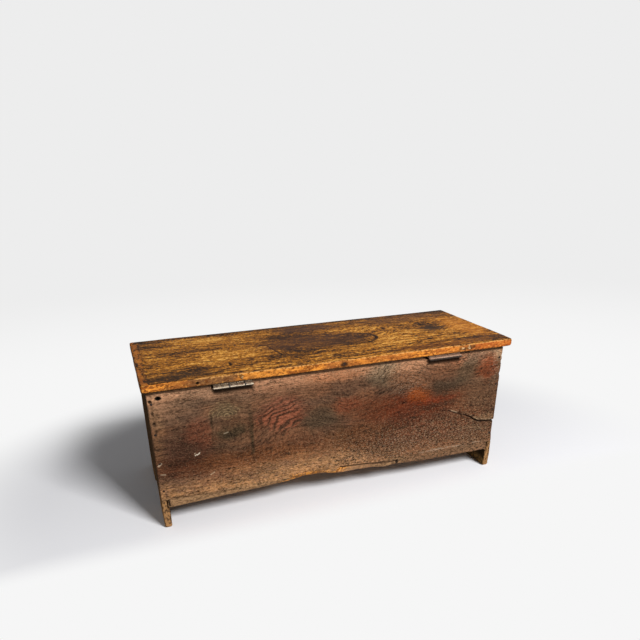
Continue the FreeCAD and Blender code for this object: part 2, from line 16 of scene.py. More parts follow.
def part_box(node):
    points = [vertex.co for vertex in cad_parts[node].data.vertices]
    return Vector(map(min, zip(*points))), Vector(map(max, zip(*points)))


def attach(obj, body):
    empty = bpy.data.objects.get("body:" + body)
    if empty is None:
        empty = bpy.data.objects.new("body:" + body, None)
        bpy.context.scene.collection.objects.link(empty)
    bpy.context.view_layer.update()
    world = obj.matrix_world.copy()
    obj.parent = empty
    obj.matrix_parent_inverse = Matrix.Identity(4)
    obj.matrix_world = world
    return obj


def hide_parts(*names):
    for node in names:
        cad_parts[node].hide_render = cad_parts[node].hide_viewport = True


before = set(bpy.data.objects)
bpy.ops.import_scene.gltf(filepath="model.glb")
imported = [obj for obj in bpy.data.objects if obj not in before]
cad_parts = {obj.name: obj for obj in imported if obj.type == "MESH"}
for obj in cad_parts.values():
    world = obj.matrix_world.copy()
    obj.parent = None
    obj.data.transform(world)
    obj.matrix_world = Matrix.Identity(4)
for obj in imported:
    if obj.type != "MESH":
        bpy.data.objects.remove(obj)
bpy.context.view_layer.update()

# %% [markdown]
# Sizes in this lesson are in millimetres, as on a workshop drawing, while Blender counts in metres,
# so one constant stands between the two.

MM = 0.001

# %% [markdown]
# ## Camera
# The chest is seen from behind, from a little above the height of a table. A long plank shows its
# true proportions only if the lens and the height are right, so the camera is given by its place,
# three angles and a focal length in pixels of a square picture. The lens axis meets the picture
# off its middle, which a small shift of the sensor allows. Left and right in these notes are as
# the camera sees them. In the names of pieces they are as seen from the front.

# %% Camera
PICTURE = 640
FOCAL_PIXELS = 569.45
SENSOR = 36.0
EYE = (0.5727, 1.5647, 0.8967)
YAW, PITCH, ROLL = (math.radians(a) for a in (-18.391, 25.821, 1.218))
AXIS_PIXEL = (305, 440)


def camera_turn():
    """The camera's axes in the chest's frame, as the columns of a rotation."""
    ahead = Vector((math.sin(YAW) * math.cos(PITCH), -math.cos(YAW) * math.cos(PITCH), -math.sin(PITCH)))
    level = ahead.cross(Vector((0, 0, 1))).normalized()
    down = ahead.cross(level)
    right = math.cos(ROLL) * level + math.sin(ROLL) * down
    below = math.cos(ROLL) * down - math.sin(ROLL) * level
    return Matrix((right, -below, -ahead)).transposed()


lens = bpy.data.cameras.new("Camera")
lens.sensor_width = SENSOR
lens.lens = SENSOR * FOCAL_PIXELS / PICTURE
lens.shift_x = (PICTURE / 2 - AXIS_PIXEL[0]) / PICTURE
lens.shift_y = (AXIS_PIXEL[1] - PICTURE / 2) / PICTURE
camera = bpy.data.objects.new("Camera", lens)
camera.matrix_world = Matrix.Translation(EYE) @ camera_turn().to_4x4()
bpy.context.scene.collection.objects.link(camera)
bpy.context.scene.camera = camera
print(f"lens {lens.lens:.1f} mm, shift {lens.shift_x:.3f}, {lens.shift_y:.3f}")

# %% [markdown]
# ## Shader maths as plain expressions
# Old oak needs a lot of small sums in its shaders: a stain fades with distance, dust lies where
# the grain is rough. Wiring those by hand hides the idea, so one small class wraps an output
# socket. Adding, subtracting, multiplying or dividing such wires adds the Math node that does it,
# and one method makes any other kind of node.

# %% The wire class


class Wire:
    """An output socket of a shader tree that can stand in a sum."""

    def __init__(self, tree, socket=None):
        self.tree = tree
        self.socket = socket

    def node(self, kind, settings=None, sockets=None, out=0):
        """Adds any node: its settings first, then its sockets, by name or by number."""
        made = self.tree.nodes.new(kind)
        for name, value in (settings or {}).items():
            if name == "stops":
                lay_stops(made.color_ramp, value)
            else:
                setattr(made, name, value)
        for name, value in (sockets or {}).items():
            if isinstance(value, Wire):
                self.tree.links.new(value.socket, made.inputs[name])
            else:
                made.inputs[name].default_value = value
        return Wire(self.tree, made.outputs[out] if made.outputs else None)

    def sum(self, operation, first, second):
        """One Math node, or one Vector Math node where a vector takes part."""
        wires = [w for w in (first, second) if isinstance(w, Wire)]
        if not any(w.socket.type in ("VECTOR", "RGBA") for w in wires):
            return self.node("ShaderNodeMath", {"operation": operation}, {0: first, 1: second})
        pair = [(v,) * 3 if isinstance(v, (int, float)) else v for v in (first, second)]
        pair = [v if isinstance(v, Wire) else v[:3] for v in pair]
        return self.node("ShaderNodeVectorMath", {"operation": operation}, {0: pair[0], 1: pair[1]})

    def __add__(self, other):
        return self.sum("ADD", self, other)

    def __radd__(self, other):
        return self.sum("ADD", other, self)

    def __sub__(self, other):
        return self.sum("SUBTRACT", self, other)

    def __rsub__(self, other):
        return self.sum("SUBTRACT", other, self)

    def __mul__(self, other):
        return self.sum("MULTIPLY", self, other)

    def __rmul__(self, other):
        return self.sum("MULTIPLY", other, self)

    def __truediv__(self, other):
        return self.sum("DIVIDE", self, other)

    def __rtruediv__(self, other):
        return self.sum("DIVIDE", other, self)


def lay_stops(ramp, stops):
    """Sets a colour ramp from pairs of place and grey or colour."""
    while len(ramp.elements) < len(stops):
        ramp.elements.new(1)
    for element, (place, value) in zip(ramp.elements, stops):
        element.position = place
        element.color = value


print("wire class ready")

# %% [markdown]
# ## Helpers on wires
# A ramp from 0 to 1, a distance, a sine, a cloud of noise with its own size along each axis, and a
# thin coat of one colour over another are nearly all that the finishes below need. Colours are
# written as a painter would note them, in display values from 0 to 255, and turned into the linear
# light that the renderer works with.

# %% Helpers on wires


def dye(red, green, blue):
    """A display colour as linear light."""
    parts = [v / 255 for v in (red, green, blue)]
    return tuple(v / 12.92 if v <= 0.04045 else ((v + 0.055) / 1.055) ** 2.4 for v in parts) + (1.0,)


def ease(value, low, high):
    """0 at low, 1 at high, with an easy curve between; high may be the smaller."""
    ends = {"Value": value, "From Min": low, "From Max": high}
    return value.node("ShaderNodeMapRange", {"interpolation_type": "SMOOTHSTEP"}, ends)


def most(first, second):
    return first.sum("MAXIMUM", first, second)


def length(vector):
    return vector.node("ShaderNodeVectorMath", {"operation": "LENGTH"}, {0: vector}, "Value")


def away(value, middle):
    """How far a value is from a middle, on either side."""
    return value.node("ShaderNodeMath", {"operation": "ABSOLUTE"}, {0: value - middle})


def stretched(place, factors, offset):
    """A vector times one factor for each axis, plus an offset."""
    feed = {0: place, 1: factors, 2: offset}
    return place.node("ShaderNodeVectorMath", {"operation": "MULTIPLY_ADD"}, feed)


def cloud(place, sizes, detail=2.0, roughness=0.5, shift=0.0, out=0):
    """Noise about 0.5 whose lumps are as long as sizes, in millimetres; out=1 gives three at once."""
    spot = stretched(place, tuple(1 / s for s in sizes), (shift, shift * 0.7, -shift))
    feed = {"Vector": spot, "Scale": 1.0, "Detail": detail, "Roughness": roughness}
    return place.node("ShaderNodeTexNoise", {}, feed, out)


def blend(first, second, share, mode="MIX"):
    """A mix of two colours, each a wire or a dye."""
    source = next(v for v in (share, first, second) if isinstance(v, Wire))
    return source.node("ShaderNodeMix", {"data_type": "RGBA", "blend_type": mode},
                       {0: share, 6: first, 7: second}, 2)


def split(vector):
    """The x, y and z of a vector as three wires."""
    return [vector.node("ShaderNodeSeparateXYZ", {}, {0: vector}, axis) for axis in "XYZ"]


def join(x, y, z):
    source = next(v for v in (x, y, z) if isinstance(v, Wire))
    return source.node("ShaderNodeCombineXYZ", {}, {0: x, 1: y, 2: z})


def sine(value):
    return value.node("ShaderNodeMath", {"operation": "SINE"}, {0: value})


def lay(under, tint, share):
    """One thin coat of a dye, given as display values, over a colour."""
    return blend(under, dye(*tint), share)


print("helpers ready, mid grey is", round(dye(128, 128, 128)[0], 3))

# %% [markdown]
# Every material here begins and ends in the same way. It begins with the place on the chest in
# millimetres and ends with one surface shader and a bump. The wear of a plank is read from its
# mesh, and a last helper gives the finish to the pieces that wear it.

# %% Beginning and ending a material


def new_finish(name):
    """An empty material: the wire to start from, and the place on the chest in millimetres."""
    material = bpy.data.materials.new(name)
    material.use_nodes = True
    material.node_tree.nodes.clear()
    root = Wire(material.node_tree)
    place = root.node("ShaderNodeTexCoord", out="Object") * (1 / MM)
    return material, root, place


def close_finish(root, colour, roughness, relief, strength=0.6, metallic=0.0, specular=0.5):
    """Ends a material: one surface shader with a bump from the relief, which is in millimetres."""
    bump = root.node("ShaderNodeBump", {}, {"Strength": strength, "Distance": MM, "Height": relief})
    shader = root.node("ShaderNodeBsdfPrincipled", {}, {
        "Base Color": colour, "Roughness": roughness, "Metallic": metallic,
        "Specular IOR Level": specular, "Normal": bump})
    root.node("ShaderNodeOutputMaterial", {}, {"Surface": shader})


def wear_of(root):
    """How many millimetres of wood are gone at a place, as each mesh keeps it."""
    return root.node("ShaderNodeAttribute", {"attribute_name": "worn"}, out="Fac")


def dress(finish, *pieces):
    """Gives the pieces their finish."""
    for piece in pieces:
        piece.data.materials.append(finish)
    print(f"{finish.name}: {len(finish.node_tree.nodes)} nodes")


print("materials begin in millimetres, one metre is", round(1 / MM))

# %% [markdown]
# ## Wood as a field of distances
# Every plank is three centuries old: its arrises are rounded unevenly, chipped and bruised, and
# no face is quite flat. Bevelled boxes look new, and sculpting six planks by hand is slow. Here a
# plank is a rule instead: a function that says for any point how far it lies outside the wood.
# Rounding, gouging and drilling are then one line each, and a mesh is drawn over the zero level.

# %% Fields: slabs, rounded meetings and cuts


def slab(value, low, high):
    """Distance outside the space between two parallel faces."""
    return np.maximum(low - value, value - high)


def meet(first, second, radius):
    """Where both fields are wood, with the arris between them rounded."""
    deep = np.minimum(np.maximum(first, second), -radius)
    return deep + np.hypot(np.maximum(first + radius, 0), np.maximum(second + radius, 0))


def cut(field, tool):
    """The field with the tool's inside taken away."""
    return np.maximum(field, -tool)


def box_tool(x, y, z, low, high):
    """A sharp box; None stands for a side that is open."""
    sides = []
    for value, bottom, top in zip((x, y, z), low, high):
        sides += [] if bottom is None else [bottom - value]
        sides += [] if top is None else [value - top]
    field = sides[0]
    for side in sides[1:]:
        field = np.maximum(field, side)
    return field


def ramp(value, low, high):
    """0 below low, 1 above high and an easy curve between, on plain numbers."""
    t = np.clip((value - low) / (high - low), 0, 1)
    return t * t * (3 - 2 * t)


print("halfway up a ramp:", ramp(5.0, 0.0, 10.0))

# %% [markdown]
# The unevenness of old wood comes from one table of random numbers, drawn once from a seeded
# generator, so that the chest comes out the same every time. A place is turned into a row of the
# table by its three cell numbers, and the eight corners of a cell are blended smoothly.

# %% Lumps of noise
DICE = np.random.default_rng(1680)
TABLE_SIZE = 4096
NOISE_TABLE = DICE.random(TABLE_SIZE)
PRIMES = (73856093, 19349663, 83492791)
SEED_PRIME = 7919


def lumps(x, y, z, sizes, seed):
    """Smooth random values from 0 to 1; sizes is how long a lump is along x, y and z."""
    cells, shares = [], []
    for value, size in zip((x, y, z), sizes):
        scaled = np.asarray(value, float) / size
        low = np.floor(scaled)
        cells.append(low.astype(np.int64))
        shares.append((scaled - low) ** 2 * (3 - 2 * (scaled - low)))
    total = 0
    for corner in itertools.product((0, 1), repeat=3):
        key, weight = seed * SEED_PRIME, 1
        for cell, step, share, prime in zip(cells, corner, shares, PRIMES):
            key = key ^ ((cell + step) * prime)
            weight = weight * (share if step else 1 - share)
        total = total + weight * NOISE_TABLE[key % TABLE_SIZE]
    return total


print("noise from", round(float(NOISE_TABLE.min()), 3), "to", round(float(NOISE_TABLE.max()), 3))

# %% [markdown]
# ## A grid that is fine where the shape is
# A mesh drawn over a field can only be as crisp as the grid below it. Cells of one millimetre all
# over a plank of one metre would be millions, so the planes of the grid crowd together near the
# arrises and the cuts, and spread out over the flats.

# %% Grid planes and local gouges
# millimetres between planes near an arris and on a flat, the reach of a zone, and the widening
FINE = 1.15
COARSE = 7.0
BAND = 4.0
GROWTH = 0.3
# how far a drill starts outside the wood
OVERSHOOT = 9


def stations(low, high, places=(), spans=(), coarse=COARSE, fine=FINE):
    """Places of the grid's planes along one axis: close near places and inside spans."""
    zones = [(p - BAND, p + BAND) for p in (low, high, *places)] + list(spans)
    at = low - 1.7 * fine
    made = [at]
    while at < high + fine:
        gap = min(max(start - at, at - end, 0) for start, end in zones)
        at += min(coarse, fine + GROWTH * gap)
        made.append(at)
    return np.array(made)


def open_grid(x, y, z):
    return x[:, None, None], y[None, :, None], z[None, None, :]


def gouge(field, grid, centre, radii):
    """Takes an egg-shaped chip out of a field, looking only at the grid round it."""
    window, local = [], []
    for axis, (line, middle, radius) in enumerate(zip(grid, centre, radii)):
        reach = 1.5 * radius + 2
        first, last = np.searchsorted(line.ravel(), (middle - reach, middle + reach))
        window.append(slice(first, last))
        part = np.take(line, range(first, last), axis=axis)
        local.append(((part - middle) / radius) ** 2)
    egg = (np.sqrt(local[0] + local[1] + local[2]) - 1) * min(radii)
    field[tuple(window)] = cut(field[tuple(window)], egg)


def drill(field, grid, centre, radius, axis, depth):
    """A round hole along an axis, from the face at centre inwards; the sign of depth is its way."""
    others = [a for a in range(3) if a != axis]
    window = [slice(None)] * 3
    local = [None] * 3
    for a, line in enumerate(grid):
        reach = radius + 3 if a != axis else 1e9
        first, last = np.searchsorted(line.ravel(), (centre[a] - reach, centre[a] + reach))
        window[a] = slice(first, last)
        local[a] = np.take(line, range(first, last), axis=a) - centre[a]
    round_hole = np.hypot(local[others[0]], local[others[1]]) - radius
    start = min(depth, 0) - (OVERSHOOT if depth > 0 else 0)
    end = max(depth, 0) + (OVERSHOOT if depth < 0 else 0)
    hole = np.maximum(round_hole, slab(local[axis], start, end))
    field[tuple(window)] = cut(field[tuple(window)], hole)


print("planes along a lid:", len(stations(-540, 540)))

# %% [markdown]
# ## Drawing the mesh over the field
# Where a grid edge runs from wood into air, the surface crosses it. Each cell that is crossed gets
# one corner of the mesh, at the mean of its crossings, and each crossed edge gets one face between
# the four cells round it. That gives clean four-sided faces, and softens an arris by a fraction of
# a cell, as wear does. Each corner also keeps how much wood is gone there, for the finish.

# %% Surface from a field


def skin(field, grid):
    """Corners and four-sided faces of the surface where the field is zero."""
    lines = [line.ravel() for line in grid]
    cells = tuple(n - 1 for n in field.shape)
    wood = field < 0
    weight = np.zeros(np.prod(cells))
    centre = np.zeros((3, len(weight)))
    faces = []
    for axis in range(3):
        near = [slice(None)] * 3
        far = [slice(None)] * 3
        near[axis], far[axis] = slice(0, -1), slice(1, None)
        near, far = tuple(near), tuple(far)
        spot = np.nonzero(wood[near] != wood[far])
        a, b = field[near][spot], field[far][spot]
        across, up = (axis + 1) % 3, (axis + 2) % 3
        point = [lines[k][spot[k]] for k in range(3)]
        step = lines[axis][spot[axis] + 1] - lines[axis][spot[axis]]
        point[axis] = point[axis] + step * a / (a - b)
        round_edge = []
        for du, dv in ((-1, -1), (0, -1), (0, 0), (-1, 0)):
            cell = list(spot)
            cell[across] = cell[across] + du
            cell[up] = cell[up] + dv
            code = np.ravel_multi_index(cell, cells)
            round_edge.append(code)
            weight += np.bincount(code, minlength=len(weight))
            for k in range(3):
                centre[k] += np.bincount(code, point[k], minlength=len(weight))
        quads = np.stack(round_edge, 1)
        quads[a > 0] = quads[a > 0][:, ::-1]
        faces.append(quads)
    used = np.nonzero(weight)[0]
    number = np.full(len(weight), -1)
    number[used] = np.arange(len(used))
    return (centre[:, used] / weight[used]).T, number[np.concatenate(faces)]


trial = open_grid(*[np.linspace(-12.0, 12.0, 13)] * 3)
ball = skin(np.sqrt(trial[0] ** 2 + trial[1] ** 2 + trial[2] ** 2) - 10.0, trial)
print("a ball of 10 mm on a grid of 2 mm:", len(ball[0]), "corners,", len(ball[1]), "faces")

# %% [markdown]
# A plank becomes an object at the origin, in metres. Its shading is smooth except over arrises that
# are still sharp. Where the wood was before any wear is a second, simpler field, and the difference
# is kept on the mesh as an attribute named worn.

# %% From field to object
SHARP_ANGLE = math.radians(55)


def plank_object(name, field, grid, sharp):
    """A mesh object at the origin; sharp(x, y, z) is the plank's field before any wear."""
    corners, faces = skin(field, grid)
    mesh = bpy.data.meshes.new(name)
    mesh.from_pydata(corners * MM, [], faces)
    mesh.update()
    gone = np.clip(-sharp(*corners.T), 0, None)
    mesh.attributes.new("worn", "FLOAT", "POINT").data.foreach_set("value", gone.astype(np.float32))
    mesh.shade_smooth()
    mesh.set_sharp_from_angle(angle=SHARP_ANGLE)
    made = bpy.data.objects.new(name, mesh)
    bpy.context.scene.collection.objects.link(made)
    print(f"{name}: {len(corners)} corners, {2 * len(faces)} triangles, "
          f"low {corners.min(0).round(2)}, high {corners.max(0).round(2)}")
    return made


def box_of(node):
    """Lowest and highest corner of a solid of the frame, in millimetres."""
    low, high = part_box(node)
    return np.array(low) / MM, np.array(high) / MM


print("lid box", [corner.round(2).tolist() for corner in box_of("lid_board")])

# %% [markdown]
# ## The lid plank
# The lid is one wide oak plank, waxed and rubbed for generations. Its corners and edges are worn
# round, more at the back corners than in the middle, the arris over the hinges has lost chips, and
# a nail and an old blind hole show in its back edge. The field starts as a box with rounded
# corners, and its faces dip by a few tenths of a millimetre, always inwards.

# %% The lid plank
LID_LOW, LID_HIGH = box_of("lid_board")
SINK_RADIUS = 3.6
SINK_DEPTH = 1.6
LID_BRUISES = 46
LID_NAIL = (2.0, LID_HIGH[1], (LID_LOW[2] + LID_HIGH[2]) / 2)
# chips of the rear edge: place along it, depth into it, height, and the radii of the gouge
LID_CHIPS = [
    (401, 1.0, 408.5, 3.2, 4.5, 2.0), (288, 1.0, 411.5, 4.5, 2.2, 4.0), (281, 0.0, 400, 5.0, 2.0, 2.5),
    (262, 0.0, 399, 7.0, 2.0, 2.2), (-368, 0.0, 417, 5.5, 2.4, 4.0), (-384, 0.5, 410, 3.5, 2.2, 3.0),
    (-399, 0.0, 418, 5.0, 2.6, 3.5), (-349, 0.0, 400, 9.0, 1.8, 2.2), (512, 0.0, 419, 7.0, 2.5, 2.0),
    (455, 0.0, 420, 9.0, 2.0, 1.6), (-120, 0.0, 399, 6.0, 1.6, 2.0), (130, 0.0, 420, 8.0, 1.8, 1.3),
    (-470, 0.0, 399, 8.0, 2.2, 2.4), (-20, 0.0, 398.5, 5.0, 1.5, 1.8), (-533, 0.0, 419, 5.0, 5.0, 3.0),
]


def lid_sharp(x, y, z):
    plan = meet(slab(x, LID_LOW[0], LID_HIGH[0]), slab(y, LID_LOW[1], LID_HIGH[1]), 6.0)
    return np.maximum(plan, slab(z, LID_LOW[2], LID_HIGH[2]))


def make_lid():
    grid = open_grid(
        stations(LID_LOW[0], LID_HIGH[0], (LID_NAIL[0],), [(LID_LOW[0], -528), (528, LID_HIGH[0])]),
        stations(LID_LOW[1], LID_HIGH[1], (), [(LID_LOW[1], -197), (190, LID_HIGH[1])]),
        stations(LID_LOW[2], LID_HIGH[2], coarse=1.8))
    x, y, z = grid
    corner = 7.5 + 4.5 * ramp(-x, 500, 540) * ramp(y, 150, 200)
    plan = meet(slab(x, LID_LOW[0], LID_HIGH[0]), slab(y, LID_LOW[1], LID_HIGH[1]), corner)
    plan = plan + 0.9 * lumps(x, y, 0, (45, 45, 1), 3) ** 2
    dip = 0.7 * lumps(x, y, 0, (210, 70, 1), 5) + 0.25 * lumps(x, y, 0, (60, 17, 1), 6)
    worn = 2.4 + 2.6 * lumps(x, y, z, (70, 70, 30), 7) + 3.0 * ramp(-x, 500, 540) * ramp(y, 150, 200)
    field = meet(plan, np.maximum(z - LID_HIGH[2] + dip, LID_LOW[2] - z + 0.6 * dip), worn)
    for along, inset, height, *radii in LID_CHIPS:
        gouge(field, grid, (along, LID_HIGH[1] - inset, height), radii)
    dice = np.random.default_rng(7)
    for _ in range(LID_BRUISES):
        side = dice.integers(0, 4)
        height = dice.choice((LID_LOW[2], LID_HIGH[2]))
        size = dice.uniform(1.2, 2.6)
        if side < 2:
            spot = (dice.uniform(-530, 530), (LID_LOW[1], LID_HIGH[1])[side], height)
            radii = (size * dice.uniform(1.5, 4.0), size, size * 0.8)
        else:
            spot = ((LID_LOW[0], LID_HIGH[0])[side - 2], dice.uniform(-195, 190), height)
            radii = (size, size * dice.uniform(1.2, 3.0), size * 0.8)
        gouge(field, grid, spot, radii)
    drill(field, grid, LID_NAIL, SINK_RADIUS, 1, -SINK_DEPTH)
    return plank_object("lid_plank", field, grid, lid_sharp)


lid_plank = make_lid()

# %% [markdown]
# ## The back plank
# The back was the side nobody saw, so it was left rough, and its lower edge still follows the
# trunk of the tree: it swings up over the middle, with the bark side bevelled away. It laps over
# both ends and goes on as a tail inside each foot. A shake has opened from the right end, the right
# arris is eaten away below it, and old nails have left pits. The wavy edge and the sizes are read
# from the solid of the frame, so the mesh follows it exactly.

# %% Outline of the back plank, read from its solid
BACK_LOW, BACK_HIGH = box_of("back_board")
SHOULDER = 86.0
TAIL_INSET = 17.0
MORTISE_FLOOR = 392.5
MORTISES = ((-361.5, -258.5), (258.5, 361.5))


def lower_outline(node):
    """Places along x and heights of a board's lowest edge, between its tails."""
    corners = np.array([v.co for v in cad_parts[node].data.vertices]) / MM
    low, high = corners.min(0), corners.max(0)
    near_back = corners[np.abs(corners[:, 1] - high[1]) < 0.01]
    along = near_back[:, 0]
    inner = near_back[(along > low[0] + TAIL_INSET - 0.1) & (along < high[0] - TAIL_INSET + 0.1)]
    edge = {}
    for x, _, z in inner.round(3):
        if z < SHOULDER - 1:
            edge[x] = min(z, edge.get(x, z))
    return np.array(sorted(edge.items())).T


WANE_X, WANE_Z = lower_outline("back_board")
print("lower edge of the back:", [(float(a), float(b)) for a, b in zip(WANE_X.round(), WANE_Z.round(1))])

# %% [markdown]
# Marks on the back are few enough to name: the shake as a line with its width and depth, the
# bevels along the lower edge as heights above it, a nick and a wedge split off beside the hinges,
# and the pits as small gouges. All of them are in millimetres from the middle of the chest, with z
# measured from the floor.

# %% Marks on the back plank
SHAKE = np.array([(-341, 219), (-369, 206), (-402, 194), (-423, 184), (-437, 173),
                  (-452, 167), (-461, 166), (-478, 162.5), (-501, 160.5), (-520, 160)], float)
SHAKE_WIDTH = ((-511, -475, -462, -456, -438, -420, -400, -343), (2.1, 2.3, 1.8, 1.2, 2.3, 1.8, 1.1, 0.5))
SHAKE_DEPTH = ((-511, -450, -420, -395, -343), (18.0, 18.0, 9.0, 2.0, 0.5))
# along x: the bevel's height above the lower edge, how far it goes in, and how softly it begins
BEVEL_X = (-500, -200, -178, -170, 11, 24, 60, 120, 160, 175, 310, 503)
BEVEL_HEIGHT = (BEVEL_X, (5, 5, 5, 13, 21, 9, 11, 12, 9, 7, 12, 30))
BEVEL_DEPTH = (BEVEL_X, (2, 2, 2, 4.0, 4.0, 4, 5, 5, 4, 2, 3, 3.0))
BEVEL_SOFTNESS = (BEVEL_X, (1.1, 1.1, 1.1, 0.2, 0.2, 1.0, 1.0, 1.0, 1.0, 1.0, 0.4, 0.12))
# beside the hinges: the sides of the saw nick, and the wedge with its slope along x
NICK = ((361, 190, 387.5), (366.5, None, None))
WEDGE = ((-259, 188, None), (-238, None, None))
WEDGE_TOP = 397.7
WEDGE_DROP = 11
WEDGE_RUN = 20
# pits: x, y, z and the radii of the gouge; the first two are beside the hinges
BACK_PITS = [
    (-386, 196, 398, 8, 7, 5.5), (376, 198, 397.5, 9, 4, 5.5),
    (522, 196.5, 373, 4.6, 4, 4.6), (520, 197, 341, 3.6, 4, 5.0), (519, 196.5, 313, 4.5, 4, 6.0),
    (517, 197, 292, 3.0, 3, 4.0), (520, 197, 241, 8.0, 5, 2.6), (529, 196, 262, 3.0, 5, 8.0),
    (529, 196, 182, 2.5, 4, 6.0), (528, 197, 130, 3.0, 4, 5.0), (529, 197, 226, 2.5, 5, 4.0),
    (-510, 197, 352, 2.2, 5, 6.0), (-509, 197, 333, 2.8, 5, 4.0), (-509, 197, 316, 2.2, 5, 5.0),
    (-511, 197, 255, 1.8, 4, 7.0), (-511, 197, 224, 2.0, 5, 5.0), (-176, 198, 77, 3.5, 6, 6.0),
    (336, 197.5, 258, 2.4, 1.6, 2.4), (415, 197.5, 212, 4.0, 0.8, 3.0), (268, 197, 397, 9, 4, 2.5),
    (-30, 197.4, 397, 12, 3, 1.8), (120, 197.4, 397.7, 18, 2.5, 1.6), (-460, 197, 397, 10, 3, 2.0),
    (501, 197.4, 380, 8.5, 5, 4.8), (530, 196, 352, 2.5, 5, 5.0), (529, 196, 300, 2.5, 5, 6.0),
    (527, 197, 206, 3.5, 4, 2.5), (528, 197, 155, 3.0, 4, 3.0), (-510, 197, 372, 2.0, 5, 5.0),
    (-511, 197, 286, 1.8, 5, 6.0), (142, 197, 84, 7.0, 4, 4.0), (96, 197, 88, 9.0, 4, 3.5),
    (70, 197, 86, 5.0, 4, 3.0),
]
print(len(SHAKE) - 1, "parts of the shake and", len(BACK_PITS), "pits")

# %% [markdown]
# A line of several parts, such as the shake, is drawn by the distance from its nearest part. Front
# and back share the field before any wear and the cut that leaves the tails.

# %% Helpers for the walls


def shake_distance(x, z):
    """Distance from the line of the shake, on the face of the plank."""
    nearest = np.full(np.broadcast_shapes(x.shape, z.shape), 1e3)
    for (ax, az), (bx, bz) in zip(SHAKE[:-1], SHAKE[1:]):
        run_x, run_z = bx - ax, bz - az
        along = np.clip(((x - ax) * run_x + (z - az) * run_z) / (run_x ** 2 + run_z ** 2), 0, 1)
        nearest = np.minimum(nearest, np.hypot(x - ax - along * run_x, z - az - along * run_z))
    return nearest


def wall_sharp(low, high, edge_x, edge_z):
    """The unworn field of a front or back plank."""
    def sharp(x, y, z):
        field = np.maximum(slab(x, low[0], high[0]), slab(y, low[1], high[1]))
        return np.maximum(field, np.maximum(z - high[2], np.interp(x, edge_x, edge_z) - z))
    return sharp


def cut_tails(field, x, y, z, low, high):
    """Shortens both ends of a wall plank to the shoulders of the feet."""
    field = cut(field, box_tool(x, y, z, (None,) * 3, (low[0] + TAIL_INSET, None, SHOULDER)))
    return cut(field, box_tool(x, y, z, (high[0] - TAIL_INSET, None, None), (None, None, SHOULDER)))


WALL_ENDS_X = (-511.0, 529.0)
WALL_NAILS_X = (-501.0, 519.0)
WALL_NAILS_Z = (365.7, 282.7, 199.7, 116.7)
WALL_NAILS = [(column, height) for column in WALL_NAILS_X for height in WALL_NAILS_Z]
TAIL_SHOULDERS = (-494, 512)
PEG_HOLE = (500.0, 379.7)
PEG_RADIUS = 3.5
PEG_DEPTH = 60
# places along x of the pits and the wedge beside the hinges, where the grid has to be fine
TOP_MARKS_X = (-378, -392, 372, -240)


def back_grid():
    """Planes that are close at the shoulders, mortises, marks, shake and lower edge."""
    mortise_ends = [end for mortise in MORTISES for end in mortise]
    return open_grid(
        stations(BACK_LOW[0], BACK_HIGH[0], (*TAIL_SHOULDERS, PEG_HOLE[0], *mortise_ends, *TOP_MARKS_X),
                 [(-511, -405)], coarse=8.0, fine=1.45),
        stations(BACK_LOW[1], BACK_HIGH[1], coarse=3.0),
        stations(BACK_LOW[2], BACK_HIGH[2], (SHOULDER, MORTISE_FLOOR, PEG_HOLE[1], *WALL_NAILS_Z),
                 [(57, 84), (156, 192)], coarse=8.0, fine=1.35))


print("walls are nailed at heights", WALL_NAILS_Z)

# %% [markdown]
# The plank without its cuts: a ragged outline with the right end eaten away, a lower edge that
# follows the tree with its bevels, and faces that are rough where the saw left them.

# %% The body of the back plank


def back_body(x, y, z):
    low_edge = np.interp(x, WANE_X, WANE_Z)
    ragged = 1.6 * lumps(x, y, 0, (26, 30, 1), 21) + 0.8 * lumps(x, y, 0, (8, 9, 1), 22)
    bottom = low_edge - z + ragged * 1.1
    top = z - BACK_HIGH[2] + 0.5 * lumps(x, 0, 0, (55, 1, 1), 23)
    eaten = 3.2 * ramp(-x, 480, 511) * ramp(z, 95, 118) * ramp(-z, -166, -160) * ramp(y, 186, 195)
    ends = slab(x, BACK_LOW[0], BACK_HIGH[0]) + eaten + 0.8 * lumps(0, y, z, (1, 20, 24), 24)
    outline = meet(ends, np.maximum(top, bottom), 2.0)
    above = (z - low_edge) / np.interp(x, *BEVEL_HEIGHT) + 0.3 * (lumps(x, 0, 0, (17, 1, 1), 29) - 0.5)
    step = np.clip((1.08 - above) / np.interp(x, *BEVEL_SOFTNESS), 0, 1)
    bevel = np.interp(x, *BEVEL_DEPTH) * step * (0.75 + 0.5 * lumps(x, 0, z, (22, 1, 9), 25))
    rough = 0.55 * lumps(x, 0, z, (150, 1, 34), 26) + 0.35 * lumps(x, 0, z, (38, 1, 11), 27)
    faces = np.maximum(BACK_LOW[1] - y, y - BACK_HIGH[1] + rough + bevel)
    worn = 1.2 + 2.2 * lumps(x, y, z, (40, 40, 40), 28)
    return meet(outline, faces, worn)


print("the bark side is bevelled away by up to", max(BEVEL_DEPTH[1]), "mm")

# %% [markdown]
# The cuts come one after the other: tails, mortises for the hinges, the nick and the wedge beside
# them, pits, the shake, and at last the holes that the nails and a lost peg have left.

# %% The back plank


